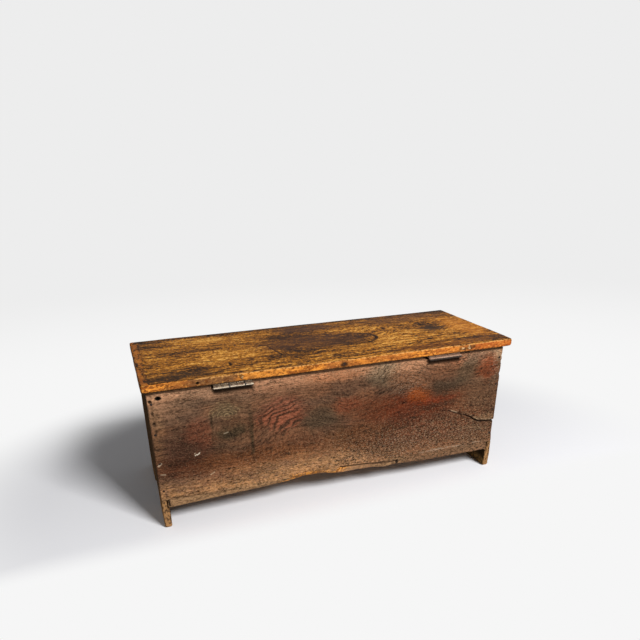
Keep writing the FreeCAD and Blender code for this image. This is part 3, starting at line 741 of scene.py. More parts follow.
def make_back():
    grid = back_grid()
    x, y, z = grid
    field = cut_tails(back_body(x, y, z), x, y, z, BACK_LOW, BACK_HIGH)
    for start, end in MORTISES:
        field = cut(field, box_tool(x, y, z, (start, None, MORTISE_FLOOR), (end, None, None)))
    field = cut(field, box_tool(x, y, z, *NICK))
    slope = WEDGE_TOP - WEDGE_DROP * np.clip((WEDGE[1][0] - x) / WEDGE_RUN, 0, 1)
    field = cut(field, np.maximum(box_tool(x, y, z, *WEDGE), slope - z))
    for cx, cy, cz, *radii in BACK_PITS:
        gouge(field, grid, (cx, cy, cz), radii)
    split_width = np.interp(x, *SHAKE_WIDTH)
    split_depth = BACK_HIGH[1] - np.interp(x, *SHAKE_DEPTH)
    field = cut(field, np.maximum(shake_distance(x, z) - split_width, split_depth - y))
    for column, height in WALL_NAILS:
        drill(field, grid, (column, BACK_HIGH[1], height), SINK_RADIUS, 1, -SINK_DEPTH)
    drill(field, grid, (PEG_HOLE[0], BACK_HIGH[1], PEG_HOLE[1]), PEG_RADIUS, 1, -PEG_DEPTH)
    return plank_object("back_plank", field, grid, wall_sharp(BACK_LOW, BACK_HIGH, WANE_X, WANE_Z))


back_plank = make_back()

# %% [markdown]
# ## The front plank
# The front is the show side: sawn straight along the bottom, planed smooth and waxed. It laps over
# the ends as the back does. The same field is used with calmer wear.

# %% The front plank
FRONT_LOW, FRONT_HIGH = box_of("front_board")
FRONT_BRUISES = 26


def make_front():
    grid = open_grid(
        stations(FRONT_LOW[0], FRONT_HIGH[0], (*TAIL_SHOULDERS, *WALL_NAILS_X)),
        stations(FRONT_LOW[1], FRONT_HIGH[1], coarse=3.0),
        stations(FRONT_LOW[2], FRONT_HIGH[2], (SHOULDER, *WALL_NAILS_Z)))
    x, y, z = grid
    ends = slab(x, FRONT_LOW[0], FRONT_HIGH[0]) + 0.6 * lumps(0, y, z, (1, 20, 30), 31)
    tall = slab(z, FRONT_LOW[2], FRONT_HIGH[2]) + 0.5 * lumps(x, y, 0, (60, 20, 1), 32)
    outline = meet(ends, tall, 2.0)
    dip = 0.5 * lumps(x, 0, z, (230, 1, 80), 33) + 0.15 * lumps(x, 0, z, (60, 1, 16), 34)
    faces = np.maximum(FRONT_LOW[1] - y + dip, y - FRONT_HIGH[1])
    field = meet(outline, faces, 1.3 + 1.6 * lumps(x, y, z, (60, 60, 60), 35))
    field = cut_tails(field, x, y, z, FRONT_LOW, FRONT_HIGH)
    dice = np.random.default_rng(11)
    for _ in range(FRONT_BRUISES):
        size = dice.uniform(1.2, 2.4)
        edge = dice.choice((FRONT_LOW[2], FRONT_HIGH[2]))
        spot = (dice.uniform(-490, 505), FRONT_LOW[1], edge)
        gouge(field, grid, spot, (size * dice.uniform(1.5, 4), size, size))
    for column, height in WALL_NAILS:
        drill(field, grid, (column, FRONT_LOW[1], height), SINK_RADIUS, 1, SINK_DEPTH)
    straight = (np.array(WALL_ENDS_X), np.array([FRONT_LOW[2]] * 2))
    return plank_object("front_plank", field, grid, wall_sharp(FRONT_LOW, FRONT_HIGH, *straight))


front_plank = make_front()

# %% [markdown]
# ## The slab ends
# Each end is one plank with its grain upright, so that its long fibres run down into the feet. A
# round arch is cut between the feet, their outer corners are rebated for the front and the back,
# and the bottoms are rounded by three centuries of being pushed over stone floors.

# %% The slab ends
NOTCH_HEIGHT = 57.0
CHEEK = 13.0
ARCH_RADIUS = 75.0
HOUSING_LOW = 96.0
HOUSING_HIGH = 112.0
HOUSING_DEPTH = 8.0
BOTTOM_NAILS_Y = (-123.625, -3.625, 116.375)
BOTTOM_NAILS_Z = 104.0
FOOT_BRUISES = 12


def end_profile(y, z, low, high):
    """The side view of a slab end: rebated above the shoulders, arched between the feet."""
    middle = (low[1] + high[1]) / 2
    field = np.maximum(slab(y, low[1], high[1]), z - high[2])
    field = cut(field, np.maximum(SHOULDER - z, y - FRONT_HIGH[1]))
    field = cut(field, np.maximum(SHOULDER - z, BACK_LOW[1] - y))
    return cut(field, np.hypot(y - middle, z) - ARCH_RADIUS)


def make_end(side):
    low, high = box_of(f"end_board_{side}")
    outer = low[0] if side == "left" else high[0]
    inwards = 1 if side == "left" else -1
    seed = 41 if side == "left" else 51
    grid = open_grid(
        stations(low[0], high[0], coarse=2.2),
        stations(low[1], high[1], (FRONT_HIGH[1], BACK_LOW[1], *BOTTOM_NAILS_Y), [(-82, -60), (53, 75)]),
        stations(low[2], high[2], (SHOULDER, NOTCH_HEIGHT, HOUSING_LOW, HOUSING_HIGH, BOTTOM_NAILS_Z),
                 [(0, 12)]))
    x, y, z = grid
    ground = 1 - ramp(z, 0, 40)
    profile = end_profile(y, z, low, high)
    wavy = 0.9 * lumps(0, y, z, (1, 16, 22), seed) + 1.2 * ground * lumps(0, y, z, (1, 9, 9), seed + 1)
    profile = meet(profile + wavy, -z, 1.0 + 5.0 * ground)
    depth_in = (x - outer) * inwards
    dip = 0.6 * lumps(0, y, z, (1, 70, 200), seed + 2) + 0.25 * lumps(0, y, z, (1, 16, 60), seed + 3)
    faces = np.maximum(dip - depth_in, depth_in - (high[0] - low[0]))
    field = meet(profile, faces, 1.2 + 1.4 * lumps(x, y, z, (30, 30, 40), seed + 4) + 3.2 * ground)
    for tool in (FRONT_HIGH[1] - y, y - BACK_LOW[1]):
        slot = np.maximum(CHEEK - depth_in, NOTCH_HEIGHT - z)
        field = cut(field, np.maximum(slot, -tool))
    housing = np.maximum(high[0] - low[0] - HOUSING_DEPTH - depth_in, slab(z, HOUSING_LOW, HOUSING_HIGH))
    field = cut(field, np.maximum(housing, slab(y, FRONT_HIGH[1], BACK_LOW[1])))
    dice = np.random.default_rng(seed)
    for _ in range(FOOT_BRUISES):
        size = dice.uniform(1.2, 2.6)
        foot = dice.choice((low[1], high[1]))
        gouge(field, grid, (outer, foot, dice.uniform(4, 80)), (size, size, size * dice.uniform(1.2, 3)))
    for place in BOTTOM_NAILS_Y:
        drill(field, grid, (outer, place, BOTTOM_NAILS_Z), SINK_RADIUS, 0, SINK_DEPTH * inwards)

    def sharp(px, py, pz):
        return np.maximum(np.maximum(end_profile(py, pz, low, high), -pz), slab(px, low[0], high[0]))
    return plank_object(f"end_plank_{side}", field, grid, sharp)


end_planks = {side: make_end(side) for side in ("left", "right")}

# %% [markdown]
# ## The bottom plank
# Nobody ever finished this one: it is sawn, laid in shallow housings in the ends and nailed
# through them. It is only seen from inside and from below.

# %% The bottom plank
BOTTOM_LOW, BOTTOM_HIGH = box_of("bottom_board")


def make_bottom():
    sides = zip(BOTTOM_LOW, BOTTOM_HIGH, (9, 9, 3))
    grid = open_grid(*(stations(low, high, coarse=cell) for low, high, cell in sides))
    x, y, z = grid
    outline = meet(slab(x, BOTTOM_LOW[0], BOTTOM_HIGH[0]), slab(y, BOTTOM_LOW[1], BOTTOM_HIGH[1]), 1.0)
    dip = 0.5 * lumps(x, y, 0, (180, 60, 1), 61) + 0.3 * lumps(x, y, 0, (40, 14, 1), 62)
    tall = np.maximum(z - BOTTOM_HIGH[2] + dip, BOTTOM_LOW[2] - z + dip)
    field = meet(outline, tall, 1.0)

    def sharp(px, py, pz):
        plan = np.maximum(slab(px, BOTTOM_LOW[0], BOTTOM_HIGH[0]), slab(py, BOTTOM_LOW[1], BOTTOM_HIGH[1]))
        return np.maximum(plan, slab(pz, BOTTOM_LOW[2], BOTTOM_HIGH[2]))
    return plank_object("bottom_plank", field, grid, sharp)


bottom_plank = make_bottom()

# %% [markdown]
# ## How old oak is painted
# The colour of old wood has layers, and the finishes below are built the same way. First comes
# the tone of the plank, then stains with torn edges where iron, water and hands have been, then
# the grain that darkens and lightens it in fine lines, then dust and wear on top. A stain is an
# ellipse on one face whose outline is torn by noise. Grain is noise drawn out along the plank,
# on a place that is pushed aside round the knots, so that the lines flow round them and close
# into arches, as they do where a saw cuts through the rings of a tree.

# %% Patches, stains and strokes


def patch(spot, face, middle, reach, soft=0.5):
    """1 in the middle of an ellipse, 0 outside it; face is the axis that the face looks along."""
    centre = list(middle)
    scale = [1 / r for r in reach]
    centre.insert(face, 0.0)
    scale.insert(face, 0.0)
    offset = tuple(-c * s for c, s in zip(centre, scale))
    return ease(length(stretched(spot, tuple(scale), offset)), 1 + soft, 1 - soft)


def stain(colour, spot, face, table):
    """Lays stains over a colour: rows of dye, share, middle and reach."""
    for tint, share, middle, reach in table:
        colour = lay(colour, tint, patch(spot, face, middle, reach) * share)
    return colour


def stroke(spot, face, start, end, width):
    """1 on a straight scratch from start to end, 0 beside it."""
    run = [b - a for a, b in zip(start, end)]
    half = math.hypot(*run) / 2
    ahead = [v / (2 * half) for v in run]
    aside = [-ahead[1], ahead[0]]
    middle = [(a + b) / 2 for a, b in zip(start, end)]
    shares = []
    for way, reach in ((ahead, half), (aside, width / 2)):
        axis = way[:face] + [0.0] + way[face:]
        feed = {0: spot, 1: tuple(axis)}
        along = spot.node("ShaderNodeVectorMath", {"operation": "DOT_PRODUCT"}, feed, "Value")
        centre = sum(w * m for w, m in zip(way, middle))
        shares.append(ease(away(along, centre), reach + width / 2, reach - width / 4))
    return shares[0] * shares[1]


print("patches, stains and strokes ready")

# %% [markdown]
# Outlines tear and grain bends because the place itself is shaken or pushed before anything is
# drawn on it. Raw oak uses the same bent place as the finish on its other side.

# %% Torn places, bent grain and raw oak


def torn(place, broad=60.0, fine=30.0):
    """The place shaken by noise at two scales, in millimetres, so that outlines drawn on it tear."""
    wide = cloud(place, (70, 45, 45), 3, out=1) - 0.5
    narrow = cloud(place, (13, 7, 6), 2, out=1, shift=3.0) - 0.5
    return place + wide * (2 * broad) + narrow * (2 * fine)


def bent(place, face, rises, waver=40.0):
    """The place with its across-grain axis pushed by knots: rows of middle, reach and rise."""
    push = (cloud(place, (300, 110, 110), 2, shift=7.0) - 0.5) * waver
    for middle, reach, rise in rises:
        push = push + patch(place, face, middle, reach, 0.9) * rise
    parts = split(place)
    across = 2 if face == 1 else 1
    parts[across] = parts[across] - push
    return join(*parts)


def bare_oak(flow, along):
    """Raw oak that never saw wax, with its grain along one axis."""
    def grain(long, wide, detail, shift):
        sizes = tuple(long if axis == along else wide for axis in range(3))
        return cloud(flow, sizes, detail, 0.75, shift)
    streaks, lines, specks = grain(190, 13, 4, 31.0), grain(60, 3.6, 3, 33.0), grain(10, 5, 3, 35.0)
    colour = blend(dye(150, 116, 80), dye(104, 77, 52), ease(streaks, 0.4, 0.6))
    colour = colour * ((lines - 0.5) * 2.0 + (specks - 0.5) * 2.0 + 1.0)
    colour = lay(colour, (54, 40, 28), ease(grain(15, 2.8, 2, 37.0), 0.42, 0.36) * 0.5)
    return lay(colour, (82, 62, 46), ease(cloud(flow, (120, 90, 90), 4, 0.7, 39.0), 0.5, 0.62) * 0.5)


print("bent grain and raw oak ready")

# %% [markdown]
# ## Finish of the back
# The back was never waxed. Three centuries of damp, dust and iron have turned it into a map: red
# where the raw oak shows, green-grey where lime has lain, purple-brown where polish ran over the
# edge, and a band of pale dust along the foot. The stains are written as a short table in
# millimetres, and everything finer comes from noise.

# %% Tables for the back
BACK_STAINS = [
    # dye, share, middle (x, z), reach (x, z)
    ((146, 108, 82), 0.6, (120, 386), (420, 30)), ((116, 90, 72), 0.6, (330, 372), (110, 26)),
    ((152, 114, 88), 0.8, (486, 362), (60, 40)), ((140, 106, 78), 0.6, (514, 290), (18, 90)),
    ((92, 74, 60), 0.6, (432, 362), (50, 18)), ((76, 52, 42), 0.85, (446, 212), (70, 60)),
    ((116, 68, 50), 0.6, (404, 270), (36, 42)), ((92, 58, 42), 0.6, (430, 166), (90, 20)),
    ((132, 88, 56), 0.6, (250, 168), (170, 30)), ((138, 98, 74), 0.5, (190, 374), (80, 22)),
    ((132, 78, 58), 0.8, (182, 292), (62, 44)), ((82, 70, 56), 0.85, (66, 256), (50, 36)),
    ((144, 92, 60), 0.5, (20, 380), (90, 18)), ((130, 72, 50), 0.6, (-14, 290), (42, 22)),
    ((74, 60, 46), 0.5, (16, 200), (10, 34)), ((128, 92, 62), 0.5, (-40, 176), (110, 40)),
    ((114, 66, 44), 0.6, (-120, 262), (70, 38)), ((114, 58, 36), 0.85, (-230, 248), (104, 42)),
    ((172, 92, 38), 0.65, (-240, 284), (36, 22)), ((134, 62, 32), 0.5, (-262, 262), (50, 14)),
    ((128, 66, 44), 0.75, (-318, 262), (56, 10)), ((98, 58, 42), 0.7, (-230, 214), (110, 26)),
    ((66, 50, 40), 0.6, (-290, 243), (90, 7)),
    ((106, 94, 76), 0.7, (-122, 362), (46, 34)), ((150, 108, 80), 0.6, (-190, 350), (50, 34)),
    ((76, 64, 52), 0.85, (-330, 300), (60, 20)), ((92, 80, 64), 0.7, (-392, 334), (32, 44)),
    ((116, 92, 72), 0.7, (-452, 262), (64, 56)), ((132, 106, 82), 0.7, (-492, 374), (44, 24)),
    ((126, 66, 40), 0.8, (-462, 342), (30, 34)), ((136, 84, 58), 0.5, (-350, 378), (40, 16)),
    ((104, 72, 56), 0.6, (-300, 160), (190, 44)), ((90, 62, 46), 0.5, (-480, 130), (60, 34)),
    ((176, 158, 128), 0.4, (-474, 176), (40, 9)), ((128, 118, 96), 0.3, (-430, 152), (60, 9)),
]
BACK_KNOTS = [
    # middle (x, z), reach (x, z), rise of the grain
    ((172, 262), (84, 66), 34), ((334, 306), (46, 38), 22), ((-14, 276), (84, 46), -26),
    ((-198, 340), (62, 44), 34), ((-250, 236), (170, 48), 26), ((60, 250), (60, 40), 18),
]
BACK_SCRATCHES = [
    # dye, share, start (x, z), end (x, z), width
    ((208, 190, 166), 0.85, (426, 206), (420, 211), 2.0),
    ((216, 200, 176), 0.85, (420, 207), (413, 214), 2.0),
    ((190, 168, 142), 0.6, (428, 212), (424, 215), 1.6), ((186, 164, 138), 0.6, (524, 192), (514, 200), 3.5),
    ((176, 154, 128), 0.5, (521, 167), (507, 165), 2.5), ((190, 166, 132), 0.5, (391, 142), (379, 149), 2.8),
    ((176, 150, 120), 0.5, (-350, 218), (-372, 208), 2.5),
    ((158, 142, 118), 0.5, (332, 260), (344, 257), 3.0),
]
LEDGES = [
    # start, end, width, share
    ((11, 92.5), (-80, 86), 4.4, 0.85), ((-80, 86), (-176, 77.5), 4.4, 0.85),
    ((503, 89.5), (400, 86), 3.0, 0.5), ((400, 86), (313, 81.5), 2.4, 0.3),
]
BACK_HOLES = [
    # middle (x, z), reach (x, z)
    ((521, 373), (5, 5)), ((519, 341), (4, 6)), ((518, 313), (5, 7)), ((516, 291), (3, 5)),
    ((519, 241), (9, 3)),
]

print(len(BACK_STAINS), "stains,", len(BACK_KNOTS), "knots,", len(BACK_SCRATCHES), "scratches")

# %% [markdown]
# The finish is laid in coats, as a painter would. Each coat is a function that takes the colour so
# far and gives back the next. What the coats read, such as the place, the bent grain and the
# speckle, is worked out once as a handful of named wires, and each coat picks the ones it needs.

# %% Wires for the back


def back_wires():
    """The material's root and the wires that the coats of the back share."""
    finish, root, place = new_finish("rough_back_oak")
    x, y, z = split(place)
    flow = bent(place, 1, BACK_KNOTS)
    wires = {
        "root": root, "place": place, "x": x, "y": y, "z": z, "flow": flow, "spot": torn(place, 26, 12),
        "lines": cloud(flow, (50, 4, 4), 3, 0.75, 5.0), "specks": cloud(flow, (9, 6, 5.5), 3, 0.8, 9.0),
        "mottle": cloud(flow, (46, 26, 24), 3, 0.7, 27.0), "dust": cloud(flow, (12, 5, 4.5), 3, 0.65),
        "pits": ease(cloud(flow, (11, 6, 5), 3, 0.75, 17.0), 0.43, 0.37),
    }
    return finish, wires


print("the bent grain is pushed by up to", max(abs(rise) for _, _, rise in BACK_KNOTS), "mm")

# %% [markdown]
# The ground is a grey brown that wanders a little, with the stains over it. Two dark runs of dirty
# water go down from the left hinge, and the strip between them has stayed greyer.

# %% Ground, stains and runs
RUNS_X = (268, 375)


def back_ground(place, spot, x, z, **others):
    colour = blend(dye(120, 84, 62), dye(102, 76, 60), ease(cloud(place, (150, 60, 60)), 0.4, 0.6))
    colour = stain(colour, spot, 1, BACK_STAINS)
    height = split(spot)[2]
    panel = ease(x, 264, 276) * ease(x, 380, 368) * ease(height, 160, 240) * ease(height, 390, 320)
    colour = lay(colour, (88, 74, 58), panel * 0.35)
    colour = lay(colour, (66, 60, 46), patch(spot, 1, (322, 262), (44, 20)) * panel * 0.8)
    colour = lay(colour, (82, 78, 58), patch(spot, 1, (336, 322), (28, 16)) * panel * 0.5)
    wander = (cloud(place, (12, 9, 26), 3) - 0.5) * 14
    right_run = ease(away(x + wander, RUNS_X[0]), 9, 1) * ease(z + wander * 3, 150, 200) * ease(z, 372, 240)
    left_run = ease(away(x + wander, RUNS_X[1]), 6, 1) * ease(z, 225, 250) * ease(z, 350, 300)
    return lay(colour, (62, 54, 40), most(right_run * 0.85, left_run * 0.5))


print("the runs go down", RUNS_X[1] - RUNS_X[0], "mm apart")

# %% [markdown]
# Where the saw has cut through the rings of the trunk, they show as arches. The distance from a
# point, bent by noise and put through a sine, gives evenly spaced arches that still look grown.

# %% Arches of the rings
RINGS_PER_MM = 0.34


def back_rings(colour, place, spot, x, **others):
    arch = length(stretched(place, (1.0, 0.0, 1.25), (-122, 0, -214 * 1.25)))
    waves = arch * RINGS_PER_MM + cloud(place, (60, 20, 34), 2) * 20 + cloud(place, (14, 9, 9), 2) * 2.0
    rings = sine(waves)
    figure = patch(spot, 1, (182, 282), (60, 48), 0.2) * ease(x, 118, 128)
    colour = lay(colour, (164, 100, 76), ease(rings, 0.1, -0.7) * figure * 0.55)
    broken = (cloud(place, (26, 20, 26), 2, 0.5, 31.0) - 0.5) * 3
    colour = lay(colour, (66, 46, 36), ease(rings + broken, 0.2, 0.9) * figure * 0.85)
    loops = length(stretched(place, (1.0, 0.0, 1.4), (-332, 0, -308 * 1.4)))
    loops = sine(loops * 0.6 + cloud(place, (30, 20, 20), 2) * 9)
    arcs = patch(spot, 1, (334, 322), (40, 22), 0.3)
    return lay(colour, (160, 134, 98), ease(loops, 0.5, 0.95) * arcs * 0.5)


print("arches stand about", round(2 * math.pi / RINGS_PER_MM), "mm apart")

# %% [markdown]
# Dust rises from the floor and settles where the surface is rough, so its mask is a ramp in height
# multiplied by a speckle. It lies thicker towards the left, and follows the wavy lower edge.

# %% Dust from the floor
DUST_FOOT = 58
DUST_REACH = 100


def back_dust(colour, place, x, z, dust, **others):
    low_edge = ease(away(x, 60), 330, 0) * 21 + DUST_FOOT
    rising = ease(z - low_edge + (cloud(place, (80, 20, 26), 3) - 0.5) * 90, DUST_REACH, 18)
    dusty = rising * ease(dust, 0.32, 0.56)
    return lay(colour, (178, 134, 90), dusty * (0.16 + 0.7 * ease(x, -260, 120)))


print("dust rises to", DUST_FOOT + DUST_REACH, "mm at the ends of the back")

# %% [markdown]
# Fine lines and speckle are the open grain itself. They don't add a colour: they multiply what is
# there, so a red stain stays red in its dark lines. The middle of the board is darker and redder
# than the dusty foot and the lighter band below the lid, and that is a multiplication too.

# %% Grain and the darker middle
FOOT_SHADE = (0.98, 0.98, 0.96, 1.0)
HEART_SHADE = (0.65, 0.58, 0.52, 1.0)


def back_grain(colour, x, z, lines, specks, mottle, **others):
    rough = ease(z, 200, 130) * (1.5 - ease(x, -20, 80)) + 3.0
    rough = rough + ease(x, 60, -80) * ease(z, 240, 190) * 2.0
    rough = rough + ease(z, 330, 370) * ease(x, -30, -110) * 2.0
    tone = (lines - 0.5) * 2.4 + (specks - 0.5) * rough + (mottle - 0.5) + 0.93
    heart = ease(z, 388, 345) * ease(z + ease(x, 60, -160) * 66 + (lines - 0.5) * 30, 135, 180)
    colour = colour * blend(FOOT_SHADE, HEART_SHADE, heart) * tone
    for tint, where in (
            ((0.86, 0.79, 0.75), ease(z, 228, 196)),
            ((0.85, 0.76, 0.72), ease(x, 60, -70) * ease(z, 310, 280) * ease(z, 120, 160)),
            ((1.16, 1.14, 1.12), ease(z, 350, 375)),
            ((1.08, 1.05, 1.02), ease(z, 350, 375) * ease(x, -310, -210)),
            ((1.1, 1.2, 1.26), ease(x, 40, 120) * ease(z, 290, 310) * ease(z, 370, 345))):
        colour = colour * blend((1.0, 1.0, 1.0, 1.0), tint + (1.0,), where)
    return colour


print("per cent of red, green and blue left in the middle:", [round(100 * v) for v in HEART_SHADE[:3]])

# %% [markdown]
# Lime has dried white in the pores, most of it low down at the right, and the deepest pores are
# black with old dirt. Both are speckles that are cut hard by a steep ramp.

# %% Pale and dark pores
LIME_PATCHES = [
    # middle (x, z), reach (x, z)
    ((-260, 126), (260, 64)), ((-498, 340), (26, 60)), ((-130, 370), (60, 24)), ((-200, 330), (60, 40)),
]


def back_pores(colour, place, spot, x, z, pits, **others):
    pale = ease(cloud(place, (6, 3, 2.7), 3, 0.8, 12.0), 0.53, 0.61)
    pale_share = 0.12 + 0.32 * most(ease(z + x * 0.12, 240, 110), ease(z, 350, 390))
    colour = lay(colour, (198, 162, 124), pale * pale_share)
    lime = ease(cloud(place, (6, 3, 2.8), 3, 0.8, 29.0), 0.58, 0.65)
    for middle, reach in LIME_PATCHES:
        colour = lay(colour, (212, 190, 162), lime * patch(spot, 1, middle, reach, 0.6) * 0.45)
    return lay(colour, (40, 28, 22), pits * (0.6 - ease(x, -20, 80) * ease(z, 170, 130) * 0.3))


print(len(LIME_PATCHES), "patches of lime")

# %% [markdown]
# Each mesh carries how much wood is gone. A little wear is a pale, rubbed arris, fresh wood shows
# bright where the lower edge has lost splinters, and painted shade darkens the deep places.

# %% Worn arrises and fresh wood
FRESH_OAK = (250, 172, 84)


def back_wear(colour, root, spot, z, specks, **others):
    worn = wear_of(root)
    rubbed = ease(worn + (specks - 0.5) * 2.5, 1.3, 2.6)
    colour = lay(colour, (150, 114, 82), rubbed * 0.55)
    fresh = ease(worn + (specks - 0.5) * 3, 0.9, 2.2) * patch(spot, 1, (84, 87), (96, 15), 0.3)
    colour = blend(colour, blend(dye(*FRESH_OAK), dye(120, 72, 36), ease(specks, 0.58, 0.42)), fresh * 0.95)
    # painted shade in the shake and in deep gouges above the bevels
    deep = most(ease(worn, 7.0, 11.0), ease(worn + (specks - 0.5) * 2, 2.6, 4.2) * ease(z, 100, 112))
    return lay(colour, (30, 21, 16), deep * 0.9)


print("fresh wood is", FRESH_OAK, "as displayed")

# %% [markdown]
# A strip along the foot was wetted by every washed floor: it is greyer, broken by dark grain, and a
# line of salts marks how high the water stood at the right. Painted shadow darkens the back just
# under the lid and below the barrels of the hinges.

# %% The wetted foot and the painted shadow under the lid
SALTS_HEIGHT = 91.5


def back_foot(colour, x, z, lines, specks, mottle, **others):
    strip = ease(z + (lines - 0.5) * 40, 95, 84) * ease(away(x, -30), 40, 120)
    broken = ease(specks, 0.54, 0.44) * 0.7 + ease(lines, 0.5, 0.42) * 0.3
    strip_tone = blend(dye(156, 124, 90), dye(120, 92, 68), ease(x, -160, -220))
    colour = blend(colour, blend(strip_tone, dye(56, 40, 28), broken), strip * 0.6)
    salts = ease(away(z + (specks - 0.5) * 24, SALTS_HEIGHT), 4.0, 1.0)
    frost = salts * ease(x, -190, -260) * ease(mottle, 0.5, 0.6)
    return lay(colour, (196, 172, 144), frost * 0.3)


def back_painted_shadow(colour, x, z, specks, **others):
    # painted shadow: a dark line just under the lid, and a dark band below each hinge barrel
    lid_shadow = ease(z + (specks - 0.5) * 5, 389.5, 393.5)
    barrel_shadow = ease(away(away(x, 0.0), 310.0), 60, 48) * ease(z + (specks - 0.5) * 5, 367, 377)
    return lay(colour, (26, 16, 9), most(lid_shadow * 0.85, barrel_shadow * 0.94))


print("the water left its salts", SALTS_HEIGHT, "mm above the floor")

# %% [markdown]
# Last come the marks that have a place of their own: old nail holes along the left arris, splinters
# off the middle of the lower edge, the shadow lines above its bevels, the shake with its pale lip,
# the round hole, and a few scratches. The nail holes, the round hole, a notch in the lower edge and a
# slot by the left foot are darkened with painted shade. Each is a short stroke or a small patch, and
# noise on its place keeps its outline ragged.

# %% Holes, ledges, the shake and scratches


def back_marks(colour, place, spot, lines, specks, **others):
    # painted shade: the old nail holes along the left arris are darkened
    for hole, reach in BACK_HOLES:
        colour = lay(colour, (26, 18, 14), patch(place + (specks - 0.5) * 12, 1, hole, reach, 0.3) * 0.65)
    chip = patch(spot, 1, (126, 84), (66, 9), 0.4) * ease(specks, 0.44, 0.5)
    colour = blend(colour, blend(dye(214, 140, 60), dye(92, 56, 30), ease(lines, 0.54, 0.44)), chip * 0.8)
    for start, end, width, share in LEDGES:
        colour = lay(colour, (46, 33, 25), stroke(place + (lines - 0.5) * 9, 1, start, end, width) * share)
    # painted shade in the notch of the lower edge and in the slot by the left foot
    colour = lay(colour, (26, 19, 15), patch(place, 1, (-176, 75), (4.5, 8), 0.4) * 0.95)
    slot = stroke(place + (specks - 0.5) * 5, 1, (509.5, 87), (508.0, 66), 4.5)
    colour = lay(colour, (20, 14, 11), slot * 0.95)
    for tint, share, start, end, width in BACK_SCRATCHES:
        colour = lay(colour, tint, stroke(place + (lines - 0.5) * 6, 1, start, end, width) * share)
    # painted shade blackens the round peg hole
    return lay(colour, (18, 14, 11), patch(place, 1, (500.5, 380), (8, 5.4), 0.25))


def back_shake(colour, place, x, lines, specks, **others):
    for start, end in zip(SHAKE[:-1].tolist(), SHAKE[1:].tolist()):
        lip = stroke(place + (0.0, 0.0, -6.0) + (specks - 0.5) * 9, 1, start, end, 4.0)
        colour = lay(colour, (156, 134, 104), lip * ease(x, -380, -440) * ease(specks, 0.46, 0.54) * 0.4)
        # painted shade: a dark line inside the shake, wider at its right end
        line = stroke(place + (lines - 0.5) * 5, 1, start, end, 3.0 if start[0] > -430 else 4.6)
        colour = lay(colour, (26, 18, 14), line * 0.85)
    return colour


print(len(BACK_HOLES), "holes,", len(LEDGES), "ledges and", len(SHAKE) - 1, "parts of the shake")

# %% [markdown]
# Now the coats go on in their order. The inner face never saw light or polish, so raw oak covers
# all of them there. The relief of the bump comes from the same lines, speckle and pits.

# %% The back's finish
BACK_COATS = (
    back_rings, back_dust, back_grain, back_pores, back_wear, back_foot, back_painted_shadow, back_shake, back_marks)


def make_back_finish():
    finish, wires = back_wires()
    colour = back_ground(**wires)
    for coat in BACK_COATS:
        colour = coat(colour, **wires)
    inside = ease(wires["y"], BACK_LOW[1] + 5, BACK_LOW[1] + 2)
    colour = blend(colour, bare_oak(wires["flow"], 0), inside * 0.95)
    relief = wires["lines"] * 0.5 + wires["specks"] * 0.45 - wires["pits"] * 0.35
    relief = relief + cloud(wires["place"], (90, 30, 26)) * 0.6
    roughness = 0.72 + (wires["dust"] - 0.5) * 0.3
    close_finish(wires["root"], colour, roughness, relief, 0.8, specular=0.02)
    return finish


dress(make_back_finish(), back_plank)

# %% [markdown]
# ## Finish of the lid
# The lid has been waxed and rubbed since it was made: gold where the wax is thin, brown-black
# where it has built up in the grain, with a dark flame of heartwood in the middle. Its edges are
# rubbed down to warm orange. One number, the tone, runs from dark to light and is turned into
# colour by a ramp, so that grain, stains and wear all stay in the same family of browns.

# %% Tables for the lid
LID_TONES = [
    # change of tone, middle (x, y), reach (x, y)
    (0.16, (262, 36), (120, 56)), (0.12, (282, -126), (80, 40)), (0.12, (-190, 128), (70, 34)),
    (0.12, (-250, 40), (80, 60)), (0.14, (-490, 20), (44, 100)), (-0.3, (452, 164), (110, 22)),
    (-0.26, (384, 118), (32, 30)), (-0.2, (500, -140), (56, 50)), (-0.22, (370, -40), (90, 16)),
    (-0.22, (100, 96), (90, 30)), (-0.24, (20, 0), (150, 70)), (-0.3, (0, -156), (96, 40)),
    (-0.2, (90, -90), (70, 40)), (-0.3, (-384, 0), (34, 26)), (-0.2, (-380, -56), (30, 50)),
    (-0.14, (-340, -160), (150, 36)), (-0.3, (-516, 172), (56, 16)), (-0.26, (-450, 146), (110, 12)),
    (-0.26, (-510, -190), (40, 30)), (-0.14, (-300, 168), (120, 20)), (-0.16, (110, 30), (30, 20)),
    (0.13, (364, -140), (90, 60)), (0.11, (350, 92), (70, 40)), (-0.14, (0, -84), (60, 34)),
    (0.08, (-176, 96), (70, 30)), (-0.08, (-350, 10), (50, 40)), (0.08, (178, -92), (40, 30)),
]
LID_HUES = [
    # dye, share, middle (x, y), reach (x, y)
    ((84, 54, 38), 0.7, (20, -10), (160, 70)), ((92, 62, 46), 0.6, (-4, -150), (110, 44)),
    ((108, 70, 46), 0.45, (-340, -150), (160, 50)), ((196, 118, 44), 0.6, (-486, 14), (50, 110)),
    ((92, 58, 38), 0.5, (-470, 158), (110, 22)), ((150, 84, 34), 0.3, (-310, 172), (140, 26)),
    ((72, 52, 34), 0.5, (450, 160), (110, 26)), ((70, 52, 38), 0.6, (-384, 0), (40, 30)),
]
LID_RISES = [
    # middle (x, y), reach (x, y), rise of the grain
    ((-96, 14), (92, 66), 46), ((85, 80), (40, 26), 20), ((-230, -100), (60, 40), -24),
    ((-384, 0), (60, 40), 26),
]
LID_MARKS = [
    # start (x, y), end (x, y), width
    ((160, -8), (152, 40), 4.0), ((152, 40), (142, 90), 4.0), ((96, 20), (88, 44), 4.5),
    ((-236, -72), (-238, -44), 7.0), ((296, 100), (297, 128), 5.0), ((375, 62), (330, 74), 4.0),
    ((-198, -150), (-232, -128), 3.0), ((-209, -112), (-214, -95), 5.0),
]
